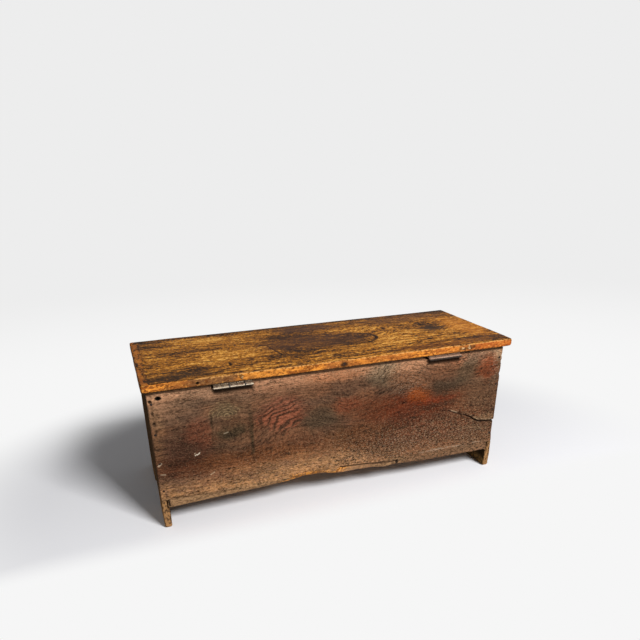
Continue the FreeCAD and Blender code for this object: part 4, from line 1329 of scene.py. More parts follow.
EDGE_HUES = [
    # dye, share, middle and reach along x
    ((156, 98, 56), 0.75, 440, 40), ((120, 86, 64), 0.9, 350, 58), ((214, 142, 70), 0.6, 230, 60),
    ((170, 104, 62), 0.7, 16, 40), ((184, 112, 60), 0.65, -120, 80), ((180, 94, 50), 0.75, -480, 90),
    ((196, 116, 60), 0.5, -330, 60), ((150, 90, 58), 0.6, -384, 26),
]
LID_DOTS = [
    # middle (x, y), radius
    ((-267, 30), 5), ((-289, 64), 6), ((-317, 100), 7), ((-312, 104), 5), ((110, 36), 7),
    ((-160, -150), 5),
]

print(len(LID_TONES), "tones,", len(LID_HUES), "hues and", len(EDGE_HUES), "hues along the edge")

# %% [markdown]
# The lid's coats share their wires in the same way. Streaks, lines and flecks are three scales of
# one grain, from a hand's length down to a pore. Inside the left edge runs a border where the wax
# has been rubbed through.

# %% Wires for the lid


def lid_wires():
    """The material and the wires that the coats of the lid share."""
    finish, root, place = new_finish("waxed_lid_oak")
    x, y, z = split(place)
    flow = bent(place, 2, LID_RISES, 26.0)
    pitted = cloud(place, (9, 26, 9), 3, 0.7, 21.0)
    margin = x + (pitted - 0.5) * 26
    wires = {
        "root": root, "place": place, "x": x, "y": y, "z": z, "flow": flow, "spot": torn(place, 22, 12),
        "streaks": cloud(flow, (170, 24, 9), 4, 0.7, 2.0), "lines": cloud(flow, (40, 11, 3.5), 3, 0.75, 6.0),
        "fleck": cloud(flow, (9, 9, 6), 3, 0.8, 8.0), "grit": cloud(place, (9, 6, 5), 3, 0.75, 4.0),
        "pores": ease(cloud(flow, (14, 9, 3.0), 2, 0.7, 11.0), 0.42, 0.36),
        "pitted": pitted, "margin": margin, "border": ease(margin, 519, 524),
    }
    return finish, wires


print("grain of the lid drawn over", len(LID_RISES), "knots")

# %% [markdown]
# The tone is one sum. The grain comes first, then the light and dark places of the table, then the
# dark flame of heartwood, whose tip is a loop drawn by a distance, then scratches, dents and the
# fine cracks that cross the rear half.

# %% The lid's tone


def lid_tone(place, spot, flow, x, y, streaks, lines, fleck, pores, pitted, margin, border, **others):
    drawn = 1.4 - ease(x, 100, 240) * 0.4
    tone = 0.54 + (streaks - 0.5) * drawn + (lines - 0.5) * 1.5 + (fleck - 0.5) * 1.9
    tone = tone - ease(y, -170, -196) * 0.3
    for change, middle, reach in LID_TONES:
        tone = tone + patch(spot, 2, middle, reach) * change
    shaken = place + (lines - 0.5) * 12
    loop = length(stretched(shaken, (1 / 82, 1 / 58, 0.0), (95 / 82, -14 / 58, 0.0)))
    outline = ease(away(loop, 1.0), 0.1, 0.03) * ease(x, -30, -90)
    within = ease(loop, 1.06, 0.9) * ease(x, 20, -60)
    tone = tone - outline * 0.55 - within * 0.16
    for start, end, width in LID_MARKS:
        tone = tone - stroke(place + (fleck - 0.5) * 8, 2, start, end, width) * 0.5
    for (px, py), size in LID_DOTS:
        tone = tone - patch(place + (fleck - 0.5) * 10, 2, (px, py), (size, size)) * 0.45
    crack = ease(away(cloud(flow, (150, 26, 12), 3, 0.6, 14.0), 0.5), 0.03, 0.006)
    tone = tone - crack * (0.12 + 0.22 * ease(y + (streaks - 0.5) * 200, 20, 120))
    tone = tone - ease(away(margin, 519), 4, 1) * 0.16 - border * ease(pitted, 0.5, 0.42) * 0.3
    comb = sine(x * 0.57 + y * 0.22 + fleck * 3)
    tone = tone + ease(comb, 0.1, 0.8) * patch(spot, 2, (-190, -84), (44, 26), 0.3) * 0.3
    return tone - pores * 0.3


print(len(LID_MARKS), "scratches and", len(LID_DOTS), "dents")

# %% [markdown]
# A ramp turns the tone into waxed oak, from brown-black to straw, and a few thin coats warm it or
# cool it in places.

# %% The lid's top
WAXED_OAK = [
    # tone, dye
    (0.0, (36, 23, 14)), (0.22, (76, 48, 24)), (0.42, (122, 76, 28)), (0.62, (174, 110, 38)),
    (0.8, (208, 140, 54)), (1.0, (240, 182, 92)),
]


def toned(tone, table):
    """A tone turned into colour by a ramp, from rows of tone and dye."""
    stops = [(at, dye(*tint)) for at, tint in table]
    return tone.node("ShaderNodeValToRGB", {"stops": stops}, {0: tone})


def lid_top(tone, spot, pitted, border, **others):
    top = toned(tone, WAXED_OAK)
    for tint, share, middle, reach in LID_HUES:
        top = lay(top, tint, patch(spot, 2, middle, reach) * share * 0.8)
    return lay(top, (176, 102, 42), border * ease(pitted, 0.44, 0.54) * 0.6)


print("the wax runs from", WAXED_OAK[0][1], "to", WAXED_OAK[-1][1])

# %% [markdown]
# The edges are rubbed down to orange wood, darker where the grain is open and where old polish has
# run. The marks of the rear edge, a nail and the chips, stop before they reach the front.

# %% The lid's edges


def lid_edge(place, spot, x, y, z, grit, **others):
    blotch = cloud(place, (34, 30, 9), 3, 0.65)
    rubbed = blend(dye(150, 88, 44), dye(232, 150, 68), ease(blotch + (grit - 0.5) * 0.5, 0.42, 0.56))
    for tint, share, middle, reach in EDGE_HUES:
        near = ease(away(x + (blotch - 0.5) * 90, middle), reach * 1.3, reach * 0.7)
        rubbed = lay(rubbed, tint, near * share)
    polish = ease(cloud(place, (17, 14, 8), 3, 0.7, 9.0), 0.47, 0.4)
    rubbed = lay(rubbed, (112, 66, 38), polish * (0.45 + 0.4 * ease(x, 250, 320)))
    rubbed = lay(rubbed, (70, 44, 28), ease(grit, 0.43, 0.37) * 0.7)
    rubbed = lay(rubbed, (246, 188, 110), ease(grit, 0.57, 0.64) * 0.4)
    rear = ease(y, 100, 180)
    # painted shade: a dark line along the bottom of the edge, where the lid overhangs the back
    rubbed = lay(rubbed, (40, 27, 20), ease(z + (grit - 0.5) * 9, 402.0, 399.0) * 0.9)
    rubbed = lay(rubbed, (50, 38, 32), patch(place, 1, (2, 408), (11, 8), 0.5) * rear * 0.9)
    for along in (-368, -384, -399, 288):
        rubbed = lay(rubbed, (60, 44, 34), patch(spot, 1, (along, 413), (8, 6)) * rear * 0.75)
    # painted highlights: pale glints on the chips of the rear edge
    for along, height in ((-374, 417), (-391, 415), (284, 414)):
        rubbed = lay(rubbed, (222, 196, 164), patch(spot, 1, (along, height), (5, 3)) * rear * 0.8)
    return rubbed * (0.84, 0.79, 0.6)


print(len(LID_CHIPS), "chips along the rear edge")

# %% [markdown]
# Top and edges meet by place: an edge is whatever lies within a few millimetres of the lid's
# outline. The rear arris catches a bright line, painted shade blackens the blind hole and darkens
# the left end, and the underside is raw.

# %% The lid's finish
LID_MIDDLE_Y = (LID_LOW[1] + LID_HIGH[1]) / 2
BLIND_HOLE = (400, 408.5)


def make_lid_finish():
    finish, wires = lid_wires()
    root, place, x, y, z = (wires[name] for name in ("root", "place", "x", "y", "z"))
    grit, fleck, lines, pores = (wires[name] for name in ("grit", "fleck", "lines", "pores"))
    side = most(ease(away(y, LID_MIDDLE_Y), 201.5, 203.4), ease(away(x, 0.0), 537.0, 539.2))
    colour = blend(lid_top(lid_tone(**wires), **wires), lid_edge(**wires), side)
    brow = ease(y, 194, 197.5) * ease(z, 416, 418) * ease(grit, 0.42, 0.52) * ease(x, 420, 380)
    colour = lay(colour, (228, 168, 98), brow * 0.55)
    # painted shade: the lid's left end face is darkened
    colour = colour * (1.0 - ease(x, 536, 539) * 0.6)
    chipped = ease(wear_of(root) + (grit - 0.5), 2.8, 4.0)
    colour = lay(colour, (88, 66, 52), chipped * 0.7)
    # painted shade blackens the blind hole in the rear edge
    hole = patch(place, 1, BLIND_HOLE, (4.6, 3.6), 0.3) * ease(y, 100, 180)
    colour = lay(colour, (16, 12, 9), hole * 0.95)
    under = ease(z, 401.5, 399.5) * (1 - side)
    colour = blend(colour, bare_oak(wires["flow"], 0), under)
    gloss = 0.42 + (fleck - 0.5) * 0.3 + pores * 0.15 + most(side, under) * 0.2
    relief = lines * 0.22 + fleck * 0.3 - pores * 0.25 + grit * side * 0.9
    close_finish(root, colour, gloss, relief, 0.6, specular=0.008)
    return finish


dress(make_lid_finish(), lid_plank)

# %% [markdown]
# ## Finish of the slab ends
# The ends stand with their grain upright. Hands and polish have darkened them to an olive brown,
# the feet are scuffed to a sandy tan by brooms and damp floors, and end grain shows as short
# strokes under the soles. The height above the floor is all that decides where each tone lies.
# Painted shade makes the inner faces of the feet nearly black between the floor and the bottom plank.

# %% The ends' finish
CHEST_MIDDLE_X = (BACK_LOW[0] + BACK_HIGH[0]) / 2
FEET_MIDDLE_Y = -3.6


def make_end_finish():
    finish, root, place = new_finish("worn_end_oak")
    x, y, z = split(place)
    upright = place + (cloud(place, (60, 90, 260), 2, out=1) - 0.5) * 50
    lines = cloud(upright, (4, 2.4, 80), 3, 0.65, 5.0)
    streaks = cloud(upright, (14, 9, 230), 3, 0.6, 2.0)
    specks = cloud(place, (6, 5, 12), 3, 0.7, 8.0)
    pores = ease(cloud(upright, (3, 1.4, 16), 2, 0.6, 11.0), 0.4, 0.3)
    colour = blend(dye(88, 66, 46), dye(62, 48, 36), ease(streaks, 0.36, 0.62))
    colour = lay(colour, (104, 82, 60), ease(cloud(place, (60, 60, 130), 3), 0.5, 0.72) * 0.6)
    height = z + (cloud(place, (40, 40, 30), 3) - 0.5) * 70
    colour = lay(colour, (64, 50, 38), ease(height, 300, 390) * 0.7)
    colour = lay(colour, (154, 116, 76), ease(height, 96, 24) * 0.8)
    colour = colour * ((lines - 0.5) * 1.2 + (specks - 0.5) * 2.6 + 1.0)
    colour = lay(colour, (46, 34, 26), pores * 0.5)
    worn = wear_of(root)
    rubbed = ease(worn + (specks - 0.5) * 2, 1.0, 2.2)
    colour = lay(colour, (158, 120, 80), rubbed * 0.55)
    foot = ease(z, 90, 82) * ease(away(y, FEET_MIDDLE_Y), 184, 190)
    foot_tone = blend(dye(80, 58, 40), dye(162, 120, 78), ease(specks, 0.43, 0.53))
    colour = blend(colour, foot_tone, foot * 0.8)
    stained = ease(cloud(place, (11, 11, 14), 2, 0.6, 15.0), 0.6, 0.7) * ease(height, 120, 40)
    colour = lay(colour, (58, 46, 36), stained * 0.6)
    inner = ease(away(x, CHEST_MIDDLE_X), 502.5, 500.5)
    colour = blend(colour, bare_oak(upright, 2), inner * ease(z, 94, 100) * 0.95)
    scuffed_and_shaded = blend(dye(54, 41, 26), dye(112, 84, 48), ease(specks, 0.44, 0.54))
    # painted shade: above the floor the inner faces of the feet, under the chest, turn nearly black
    scuffed_and_shaded = lay(scuffed_and_shaded, (22, 17, 13), ease(z + (specks - 0.5) * 20, 20, 38))
    colour = blend(colour, scuffed_and_shaded, inner * ease(z, 100, 90) * 0.92)
    relief = lines * 0.35 + specks * 0.45 - pores * 0.3
    close_finish(root, colour, 0.66 + (specks - 0.5) * 0.3, relief, 0.7, specular=0.0)
    return finish


dress(make_end_finish(), *end_planks.values())

# %% [markdown]
# ## Finishes of the front and of the bottom
# The front was planed and waxed like the lid, but stands upright, so it has kept its dark polish,
# rubbed brown at the edges and round the middle where hands lift the lid. Black polish sits round
# the nails and along the lower edge, and the rays of the oak show as short pale flakes that lie a
# little askew.

# %% Tables for the front
POLISHED_OAK = [
    # tone, dye
    (0.0, (34, 22, 16)), (0.25, (66, 42, 26)), (0.5, (104, 67, 36)), (0.75, (146, 96, 50)),
    (1.0, (190, 136, 80)),
]
FRONT_RISES = [((-120, 236), (150, 80), 26), ((260, 190), (90, 50), -18), ((-380, 150), (80, 40), 16)]
FRONT_STAINS = [
    # dye, share, middle (x, z), reach (x, z)
    ((150, 96, 50), 0.55, (0, 372), (190, 34)), ((128, 78, 42), 0.5, (250, 250), (160, 60)),
    ((64, 42, 28), 0.6, (-330, 300), (130, 46)), ((70, 44, 28), 0.5, (120, 140), (200, 40)),
    ((138, 88, 48), 0.5, (-210, 180), (120, 50)), ((60, 40, 28), 0.5, (430, 330), (80, 60)),
    ((96, 74, 52), 0.5, (-440, 110), (90, 30)), ((104, 78, 54), 0.45, (380, 96), (140, 26)),
]
FRONT_SCRATCHES = [
    ((172, 124, 76), 0.5, (-60, 322), (14, 300), 1.6), ((176, 130, 84), 0.45, (212, 188), (300, 204), 1.8),
    ((44, 28, 20), 0.6, (-296, 214), (-246, 240), 1.8), ((44, 28, 20), 0.5, (92, 262), (150, 250), 1.6),
    ((180, 134, 88), 0.4, (-420, 262), (-384, 226), 1.5), ((48, 32, 22), 0.5, (344, 130), (392, 150), 1.8),
]

print(len(FRONT_STAINS), "stains and", len(FRONT_SCRATCHES), "scratches on the front")

# %% [markdown]
# As on the lid, the tone is a sum and a ramp turns it into polished oak. Stains, rays, the dark
# halo of each nail, scratches and worn arrises are then laid over it, and raw oak inside.

# %% The front's finish


def make_front_finish():
    finish, root, place = new_finish("polished_front_oak")
    _, y, z = split(place)
    flow = bent(place, 1, FRONT_RISES, 22.0)
    spot = torn(place, 24, 12)
    streaks = cloud(flow, (190, 16, 13), 4, 0.7, 2.0)
    lines = cloud(flow, (60, 6, 3.6), 3, 0.75, 5.0)
    fleck = cloud(flow, (11, 6, 6), 3, 0.8, 8.0)
    pores = ease(cloud(flow, (16, 4, 2.4), 2, 0.7, 11.0), 0.42, 0.36)
    tone = 0.42 + (streaks - 0.5) * 1.5 + (lines - 0.5) * 1.3 + (fleck - 0.5) * 1.4 - pores * 0.2
    tone = tone + ease(z, 320, 380) * 0.06 - ease(z, 130, 70) * 0.1
    colour = toned(tone, POLISHED_OAK)
    shade = blend((0.5, 0.5, 0.5, 1.0), (1.3, 1.3, 1.3, 1.0), ease(lines + (fleck - 0.5) * 0.6, 0.4, 0.6))
    for tint, share, middle, reach in FRONT_STAINS:
        colour = blend(colour, shade * dye(*tint), patch(spot, 1, middle, reach) * share)
    rays = ease(cloud(flow + place * (0.0, 0.0, 0.3), (15, 9, 5), 1, 0.5, 23.0), 0.64, 0.7)
    colour = lay(colour, (164, 116, 66), rays * 0.35)
    for nail in WALL_NAILS:
        halo = patch(place + (fleck - 0.5) * 14, 1, nail, (11, 14), 0.6)
        colour = lay(colour, (36, 26, 22), halo * 0.7)
    colour = lay(colour, (46, 34, 26), ease(z + (fleck - 0.5) * 20, 84, 66) * 0.6)
    for tint, share, start, end, width in FRONT_SCRATCHES:
        colour = lay(colour, tint, stroke(place + (lines - 0.5) * 8, 1, start, end, width) * share)
    colour = lay(colour, (178, 122, 70), ease(wear_of(root) + (fleck - 0.5) * 3, 0.9, 2.0) * 0.65)
    inside = ease(y, FRONT_HIGH[1] - 5, FRONT_HIGH[1] - 2)
    colour = blend(colour, bare_oak(flow, 0), inside * 0.95)
    relief = lines * 0.35 + fleck * 0.35 - pores * 0.3
    close_finish(root, colour, 0.42 + (fleck - 0.5) * 0.4 + inside * 0.3, relief, 0.6, specular=0.15)
    return finish


dress(make_front_finish(), front_plank)

# %% [markdown]
# The bottom is pale, dry and dusty. The saw crossed the grain, and its marks are a sine across it.

# %% The bottom's finish


def make_bottom_finish():
    finish, root, place = new_finish("sawn_bottom_oak")
    flow = bent(place, 2, [((150, 0), (90, 50), 40)])
    lines = cloud(flow, (110, 2.6, 3), 3, 0.65, 5.0)
    streaks = cloud(flow, (260, 12, 12), 3, 0.6, 2.0)
    specks = cloud(place, (9, 6, 4), 3, 0.7, 8.0)
    marks = sine(split(place)[0] * 1.1 + cloud(place, (60, 60, 60)) * 8)
    colour = blend(dye(150, 118, 84), dye(108, 82, 60), ease(streaks, 0.36, 0.62))
    colour = colour * ((lines - 0.5) * 0.8 + (specks - 0.5) * 0.7 + marks * 0.04 + 1.0)
    colour = lay(colour, (84, 66, 52), ease(cloud(place, (90, 70, 70), 3), 0.55, 0.7) * 0.5)
    relief = lines * 0.3 + specks * 0.5 + marks * 0.12
    close_finish(root, colour, 0.8 + (specks - 0.5) * 0.2, relief, 0.7, specular=0.2)
    return finish


dress(make_bottom_finish(), bottom_plank)

# %% [markdown]
# ## Iron
# The hinges are plain iron butts. The one at the left has been rubbed and greased, so its barrel
# is grey, while the other is brown with dry rust. Both are one metal whose rust grows from
# left to right, so one material does for all leaves and pins. A painted highlight runs along the
# barrel, painted shade darkens its lower side, and the joints between its knuckles are dark. The
# screws are brown steel, and the hammered nails are black with specks of red rust.

# %% Hinge, screw and nail finishes
# dark joints of the knuckles: distance from the chest's middle along x, and share
KNUCKLE_JOINTS = ((279.4, 0.95), (320.2, 0.95), (299.8, 0.2), (340.6, 0.2))


def make_hinge_finish():
    finish, root, place = new_finish("hinge_iron_painted_light")
    x, _, z = split(place)
    grain = cloud(place, (5, 2.5, 2.5), 4, 0.65)
    blot = cloud(place, (16, 7, 7), 3, 0.6, 3.0)
    rust = ease(blot + ease(x, 40, -40) * 0.16, 0.5, 0.7)
    colour = blend(dye(136, 116, 92), dye(70, 56, 44), ease(grain, 0.42, 0.56))
    colour = lay(colour, (128, 102, 84), ease(x, 40, -40) * 0.7)
    colour = lay(colour, (96, 62, 42), rust * 0.7)
    colour = lay(colour, (48, 40, 34), ease(cloud(place, (3, 3, 3), 2, 0.6, 9.0), 0.36, 0.26) * 0.7)
    rise = z + (grain - 0.5) * 1.6 - ease(x, 40, -40) * 3.2
    # painted highlight: a bright line along the barrel, paler on the left hinge
    painted_highlight = ease(away(rise, 390.4), 1.4, 0.4)
    colour = blend(colour, blend(dye(226, 208, 182), dye(166, 134, 112), ease(x, 40, -40)), painted_highlight * 0.85)
    # painted shade: the lower side of the barrel is darkened
    colour = lay(colour, (34, 25, 18), ease(rise, 389.0, 387.6) * 0.9)
    for joint, share in KNUCKLE_JOINTS:
        gap = ease(away(away(x, 0.0), joint), 2.4, 1.1) * ease(x, -40, 40)
        colour = lay(colour, (22, 18, 15), gap * share)
    close_finish(root, colour, 0.42 + rust * 0.3 + (grain - 0.5) * 0.3, grain * 0.25 + blot * 0.3, 0.7,
                 metallic=0.25, specular=0.3)
    return finish


def make_screw_finish():
    finish, root, place = new_finish("dark_screw_steel")
    grain = cloud(place, (2.5, 2.5, 2.5), 3, 0.65)
    colour = blend(dye(122, 110, 96), dye(74, 62, 52), ease(grain, 0.38, 0.6))
    colour = lay(colour, (104, 66, 44), ease(cloud(place, (6, 6, 6), 3, 0.6, 5.0), 0.5, 0.64) * 0.7)
    close_finish(root, colour, 0.46 + (grain - 0.5) * 0.4, grain * 0.2, 0.6, metallic=0.5, specular=0.4)
    return finish


def make_nail_finish():
    finish, root, place = new_finish("black_nail_iron")
    grain = cloud(place, (2.2, 2.2, 2.2), 3, 0.7)
    colour = blend(dye(48, 37, 31), dye(26, 21, 18), ease(grain, 0.36, 0.6))
    colour = lay(colour, (112, 68, 44), ease(cloud(place, (4, 4, 4), 2, 0.6, 5.0), 0.54, 0.66) * 0.6)
    close_finish(root, colour, 0.55 + (grain - 0.5) * 0.4, grain * 0.3, 0.7, metallic=0.1, specular=0.12)
    return finish


hinge_finish = make_hinge_finish()
screw_finish = make_screw_finish()
nail_iron = make_nail_finish()
for node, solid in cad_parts.items():
    if node.startswith("hinge_"):
        iron = screw_finish if node.endswith("screws") else hinge_finish
        solid.data.materials.clear()
        solid.data.materials.append(iron)
        print(node, "gets", iron.name)

# %% [markdown]
# ## Forged nails
# Every nail was drawn out by hand: a square, tapering shank and a low head with a few hammered
# facets. They stand in rows, so one node tree makes a row of any length from named inputs. The
# nail is built once, set on the points of a line, turned a little differently each time, made
# real, and then dented by noise, so that no two heads are the same.

# %% The tree of a row of nails
NAIL_SOCKETS = {
    "Count": "NodeSocketInt", "First": "NodeSocketVector", "Step": "NodeSocketVector",
    "Turn": "NodeSocketVector", "Head radius": "NodeSocketFloat", "Head height": "NodeSocketFloat",
    "Shank radius": "NodeSocketFloat", "Tip radius": "NodeSocketFloat", "Length": "NodeSocketFloat",
    "Dent": "NodeSocketFloat", "Seed": "NodeSocketInt", "Iron": "NodeSocketMaterial",
}


def moved(shape, height):
    """Geometry shifted along z."""
    return shape.node("GeometryNodeTransform", {}, {"Geometry": shape, "Translation": join(0.0, 0.0, height)})


def joined(*shapes):
    made = shapes[0].tree.nodes.new("GeometryNodeJoinGeometry")
    for shape in reversed(shapes):
        shape.tree.links.new(shape.socket, made.inputs[0])
    return Wire(shapes[0].tree, made.outputs[0])


def nail_shape(root, given):
    """One nail with its head at the origin and its tip down: cap, rim and square shank."""
    cap = root.node("GeometryNodeMeshCone", {}, {
        "Vertices": 9, "Radius Top": given["Head radius"] * 0.45, "Radius Bottom": given["Head radius"],
        "Depth": given["Head height"] * 0.45})
    rim = root.node("GeometryNodeMeshCone", {}, {
        "Vertices": 9, "Radius Top": given["Head radius"], "Radius Bottom": given["Head radius"] * 0.8,
        "Depth": given["Head height"] * 0.55})
    shank = root.node("GeometryNodeMeshCone", {}, {
        "Vertices": 4, "Side Segments": 6, "Radius Top": given["Shank radius"],
        "Radius Bottom": given["Tip radius"], "Depth": given["Length"] - given["Head height"] * 0.9})
    return joined(moved(cap, given["Head height"] * -0.45), moved(rim, given["Head height"] * -1.0),
                  moved(shank, given["Length"] * -1.0))


def make_nail_tree():
    tree = bpy.data.node_groups.new("forged_nails", "GeometryNodeTree")
    for name, kind in NAIL_SOCKETS.items():
        tree.interface.new_socket(name, in_out="INPUT", socket_type=kind)
    tree.interface.new_socket("Nails", in_out="OUTPUT", socket_type="NodeSocketGeometry")
    entry = tree.nodes.new("NodeGroupInput")
    given = {s.name: Wire(tree, s) for s in entry.outputs if s.name}
    root = given["Count"]
    nail = nail_shape(root, given)
    row = root.node("GeometryNodeMeshLine", {"mode": "OFFSET"}, {
        "Count": given["Count"], "Start Location": given["First"], "Offset": given["Step"]})
    turn = root.node("FunctionNodeEulerToRotation", {}, {0: given["Turn"]})
    placed = root.node("GeometryNodeInstanceOnPoints", {},
                       {"Points": row, "Instance": nail, "Rotation": turn})
    angle = root.node("FunctionNodeRandomValue", {"data_type": "FLOAT"},
                      {2: 0.0, 3: 2 * math.pi, "Seed": given["Seed"]}, 1)
    spin = root.node("FunctionNodeEulerToRotation", {}, {0: join(0.0, 0.0, angle)})
    turned = root.node("GeometryNodeRotateInstances", {}, {"Instances": placed, "Rotation": spin})
    real = root.node("GeometryNodeRealizeInstances", {}, {0: turned})
    here = root.node("GeometryNodeInputPosition", {}, {})
    noise = root.node("ShaderNodeTexNoise", {"noise_dimensions": "4D"},
                      {"Vector": here, "W": given["Seed"] * 3.7, "Scale": 260.0, "Detail": 1.0}, 1)
    dented = root.node("GeometryNodeSetPosition", {},
                       {"Geometry": real, "Offset": (noise - 0.5) * given["Dent"]})
    painted = root.node("GeometryNodeSetMaterial", {}, {"Geometry": dented, "Material": given["Iron"]})
    root.node("NodeGroupOutput", {}, {0: painted})
    return tree


nail_tree = make_nail_tree()
print("nail tree:", len(nail_tree.nodes), "nodes")

# %% [markdown]
# Each row is one piece. A table says where its first nail stands, how far on the next one is, which
# way it is driven, and how many there are.

# %% Table of the rows
CARCASS_NAIL = 58.0
LID_NAIL_LENGTH = 38.0
QUARTER = math.pi / 2
SIDES = ("left", "right")
WALL_DOWN = (0, 0, WALL_NAILS_Z[1] - WALL_NAILS_Z[0])
DEEPER = (0, BOTTOM_NAILS_Y[1] - BOTTOM_NAILS_Y[0], 0)
# node: body, first nail, step, turn, count, length
NAIL_ROWS = {}
for wall, face, turn in (("front", FRONT_LOW[1], QUARTER), ("back", BACK_HIGH[1], -QUARTER)):
    for side, column in zip(SIDES, WALL_NAILS_X):
        NAIL_ROWS[f"{wall}_nails_{side}"] = (
            "carcass", (column, face, WALL_NAILS_Z[0]), WALL_DOWN, (turn, 0, 0),
            len(WALL_NAILS_Z), CARCASS_NAIL)
for side, face, turn in zip(SIDES, WALL_ENDS_X, (-QUARTER, QUARTER)):
    NAIL_ROWS[f"bottom_nails_{side}"] = (
        "carcass", (face, BOTTOM_NAILS_Y[0], BOTTOM_NAILS_Z), DEEPER, (0, turn, 0),
        len(BOTTOM_NAILS_Y), CARCASS_NAIL)
NAIL_ROWS["lid_edge_nail"] = ("lid", LID_NAIL, (0, 0, 0), (-QUARTER, 0, 0), 1, LID_NAIL_LENGTH)
print(len(NAIL_ROWS), "rows,", sum(how[4] for how in NAIL_ROWS.values()), "nails")

# %% [markdown]
# The tree works on an empty object for a moment, and its result is read off as a plain mesh. So a
# piece carries no modifier, and its nails can be counted, exported and measured like any mesh.

# %% Rows of nails
HEAD_RADIUS = 3.5
SHANK_RADIUS = 2
TIP_RADIUS = 0.8
DENT = 0.7


def scaled(point):
    return [float(v) * MM for v in point]


def build_row(node, first, step, turn, count, reach, seed):
    """One row of nails as a plain mesh, named after the solid that it stands for."""
    holder = bpy.data.objects.new("row", bpy.data.meshes.new("row"))
    bpy.context.scene.collection.objects.link(holder)
    rule = holder.modifiers.new("nails", "NODES")
    rule.node_group = nail_tree
    values = {
        "Count": count, "First": scaled(first), "Step": scaled(step), "Turn": list(turn),
        "Head radius": HEAD_RADIUS * MM, "Head height": SINK_DEPTH * MM,
        "Shank radius": SHANK_RADIUS * MM, "Tip radius": TIP_RADIUS * MM, "Length": reach * MM,
        "Dent": DENT * MM, "Seed": seed, "Iron": nail_iron,
    }
    for socket in nail_tree.interface.items_tree:
        if socket.in_out == "INPUT":
            rule[socket.identifier] = values[socket.name]
    graph = bpy.context.evaluated_depsgraph_get()
    mesh = bpy.data.meshes.new_from_object(holder.evaluated_get(graph))
    holder.modifiers.remove(rule)
    bpy.data.objects.remove(holder)
    row = bpy.data.objects.new(f"forged_{node}", mesh)
    bpy.context.scene.collection.objects.link(row)
    print(f"{row.name}: {len(mesh.polygons)} faces")
    return row


nail_rows = {}
for seed, (node, (body, *how)) in enumerate(NAIL_ROWS.items(), start=1):
    nail_rows[node] = build_row(node, *how, seed)
    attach(nail_rows[node], body)
    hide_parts(node)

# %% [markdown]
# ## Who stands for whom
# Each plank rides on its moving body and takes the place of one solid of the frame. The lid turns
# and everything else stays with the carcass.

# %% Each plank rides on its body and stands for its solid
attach(lid_plank, "lid")
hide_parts("lid_board")
for piece, node, slot in ((back_plank, "back_board", "back_oak"), (front_plank, "front_board", "front_oak"),
                          (bottom_plank, "bottom_board", "bottom_oak"),
                          (end_planks["left"], "end_board_left", "end_oak"),
                          (end_planks["right"], "end_board_right", "end_oak")):
    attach(piece, "carcass")
    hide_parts(node)

# %% [markdown]
# ## A pale room
# A plain, pale room keeps all attention on the wood. The backdrop's own colour is only for eyes,
# mirrors and glass: the light that falls on the chest is set apart from it, with the Light Path
# node, so that either can be changed without the other.

# %% Backdrop colour and world light
scene = bpy.context.scene
scene.view_settings.view_transform = "Standard"
BACKDROP = dye(237, 237, 237)
WORLD_LIGHT = 0.17


def seen_directly(root):
    """1 for rays from the eye, a mirror or through glass, and 0 for rays that carry light."""
    kinds = ("Is Camera Ray", "Is Glossy Ray", "Is Transmission Ray")
    eye, mirror, glass = (root.node("ShaderNodeLightPath", out=kind) for kind in kinds)
    return most(most(eye, mirror), glass)


world = bpy.data.worlds.new("studio")
scene.world = world
world.use_nodes = True
world.node_tree.nodes.clear()
sky = Wire(world.node_tree)
sky_light = sky.node("ShaderNodeBackground", {}, {"Color": (1, 1, 1, 1), "Strength": WORLD_LIGHT})
sky_seen = sky.node("ShaderNodeBackground", {}, {"Color": BACKDROP, "Strength": 1.0})
sky_both = sky.node("ShaderNodeMixShader", {}, {0: seen_directly(sky), 1: sky_light, 2: sky_seen})
sky.node("ShaderNodeOutputWorld", {}, {"Surface": sky_both})
print("backdrop", [round(v, 3) for v in BACKDROP[:3]])

# %% [markdown]
# The floor is plain and pale. Far from the chest it turns step by step into the colour of the
# backdrop, so no horizon line shows. On the eye's side, where no shadow falls, it does so soon.

# %% The floor
FLOOR_SIZE = 60.0
# metres over which the shadow's floor gives way, then its glow reaches the backdrop
NEAR_RING = (0.66, 1.05)
GLOW_RING = (1.2, 3.6)
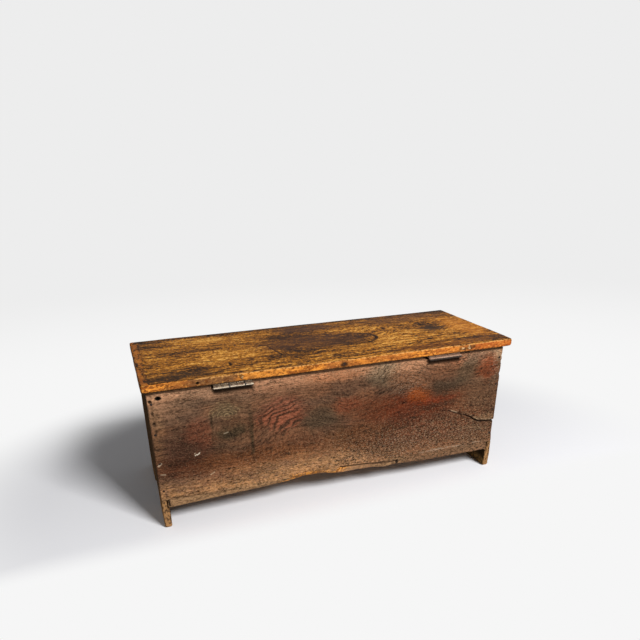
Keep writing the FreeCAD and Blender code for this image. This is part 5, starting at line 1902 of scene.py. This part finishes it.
# metres from the chest's middle towards the eye over which the floor gives way on that side
EYE_SIDE = (0.2, 0.32)
floor_mesh = bpy.data.meshes.new("floor")
half = FLOOR_SIZE / 2
corners = [(-half, -half, 0), (half, -half, 0), (half, half, 0), (-half, half, 0)]
floor_mesh.from_pydata(corners, [], [(0, 1, 2, 3)])
floor = bpy.data.objects.new("floor", floor_mesh)
scene.collection.objects.link(floor)
pale_floor, root, place = new_finish("pale_floor")
NEAR_FLOOR = dye(246, 246, 246)
matt = root.node("ShaderNodeBsdfDiffuse", {}, {"Color": dye(246, 246, 249)})
distance = length(stretched(place, (0.8, 1.0, 1.0), (0.0, 0.0, 0.0))) * MM
glow_colour = blend(NEAR_FLOOR, BACKDROP, ease(distance, *GLOW_RING))
glow = root.node("ShaderNodeEmission", {}, {"Color": glow_colour, "Strength": 1.0})
unlit = root.node("ShaderNodeBsdfDiffuse", {}, {"Color": BACKDROP})
far_floor = root.node("ShaderNodeMixShader", {}, {0: seen_directly(root), 1: unlit, 2: glow})
before = ease(split(place)[1] * MM, *EYE_SIDE)
far_share = most(ease(distance, *NEAR_RING), before)
both = root.node("ShaderNodeMixShader", {}, {0: far_share, 1: matt, 2: far_floor})
root.node("ShaderNodeOutputMaterial", {}, {"Surface": both})
floor_mesh.materials.append(pale_floor)
print("floor", FLOOR_SIZE, "m wide")

# %% [markdown]
# ## Soft light
# Old wood reads best under large, soft lamps. The big key lamp stands behind the eye, high up and
# towards the right, and gives the chest a soft shadow. A broad, much weaker one fills from the left.

# %% Lamps
CHEST_MIDDLE = Vector((0.0, 0.0, 0.2))
LAMPS = {
    # name: place, side of the square lamp, watts
    "key": ((-1.35, 3.3, 3.2), 1.4, 240.0),
    "fill": ((1.6, 2.8, 1.2), 2.0, 2.0),
}
for name, (spot, side, power) in LAMPS.items():
    lamp = bpy.data.lights.new(name, "AREA")
    lamp.size = side
    lamp.energy = power
    holder = bpy.data.objects.new(name, lamp)
    aim = CHEST_MIDDLE - Vector(spot)
    holder.matrix_world = Matrix.Translation(spot) @ aim.to_track_quat("-Z", "Y").to_matrix().to_4x4()
    scene.collection.objects.link(holder)
    print(f"{name}: {power} W at {spot}")
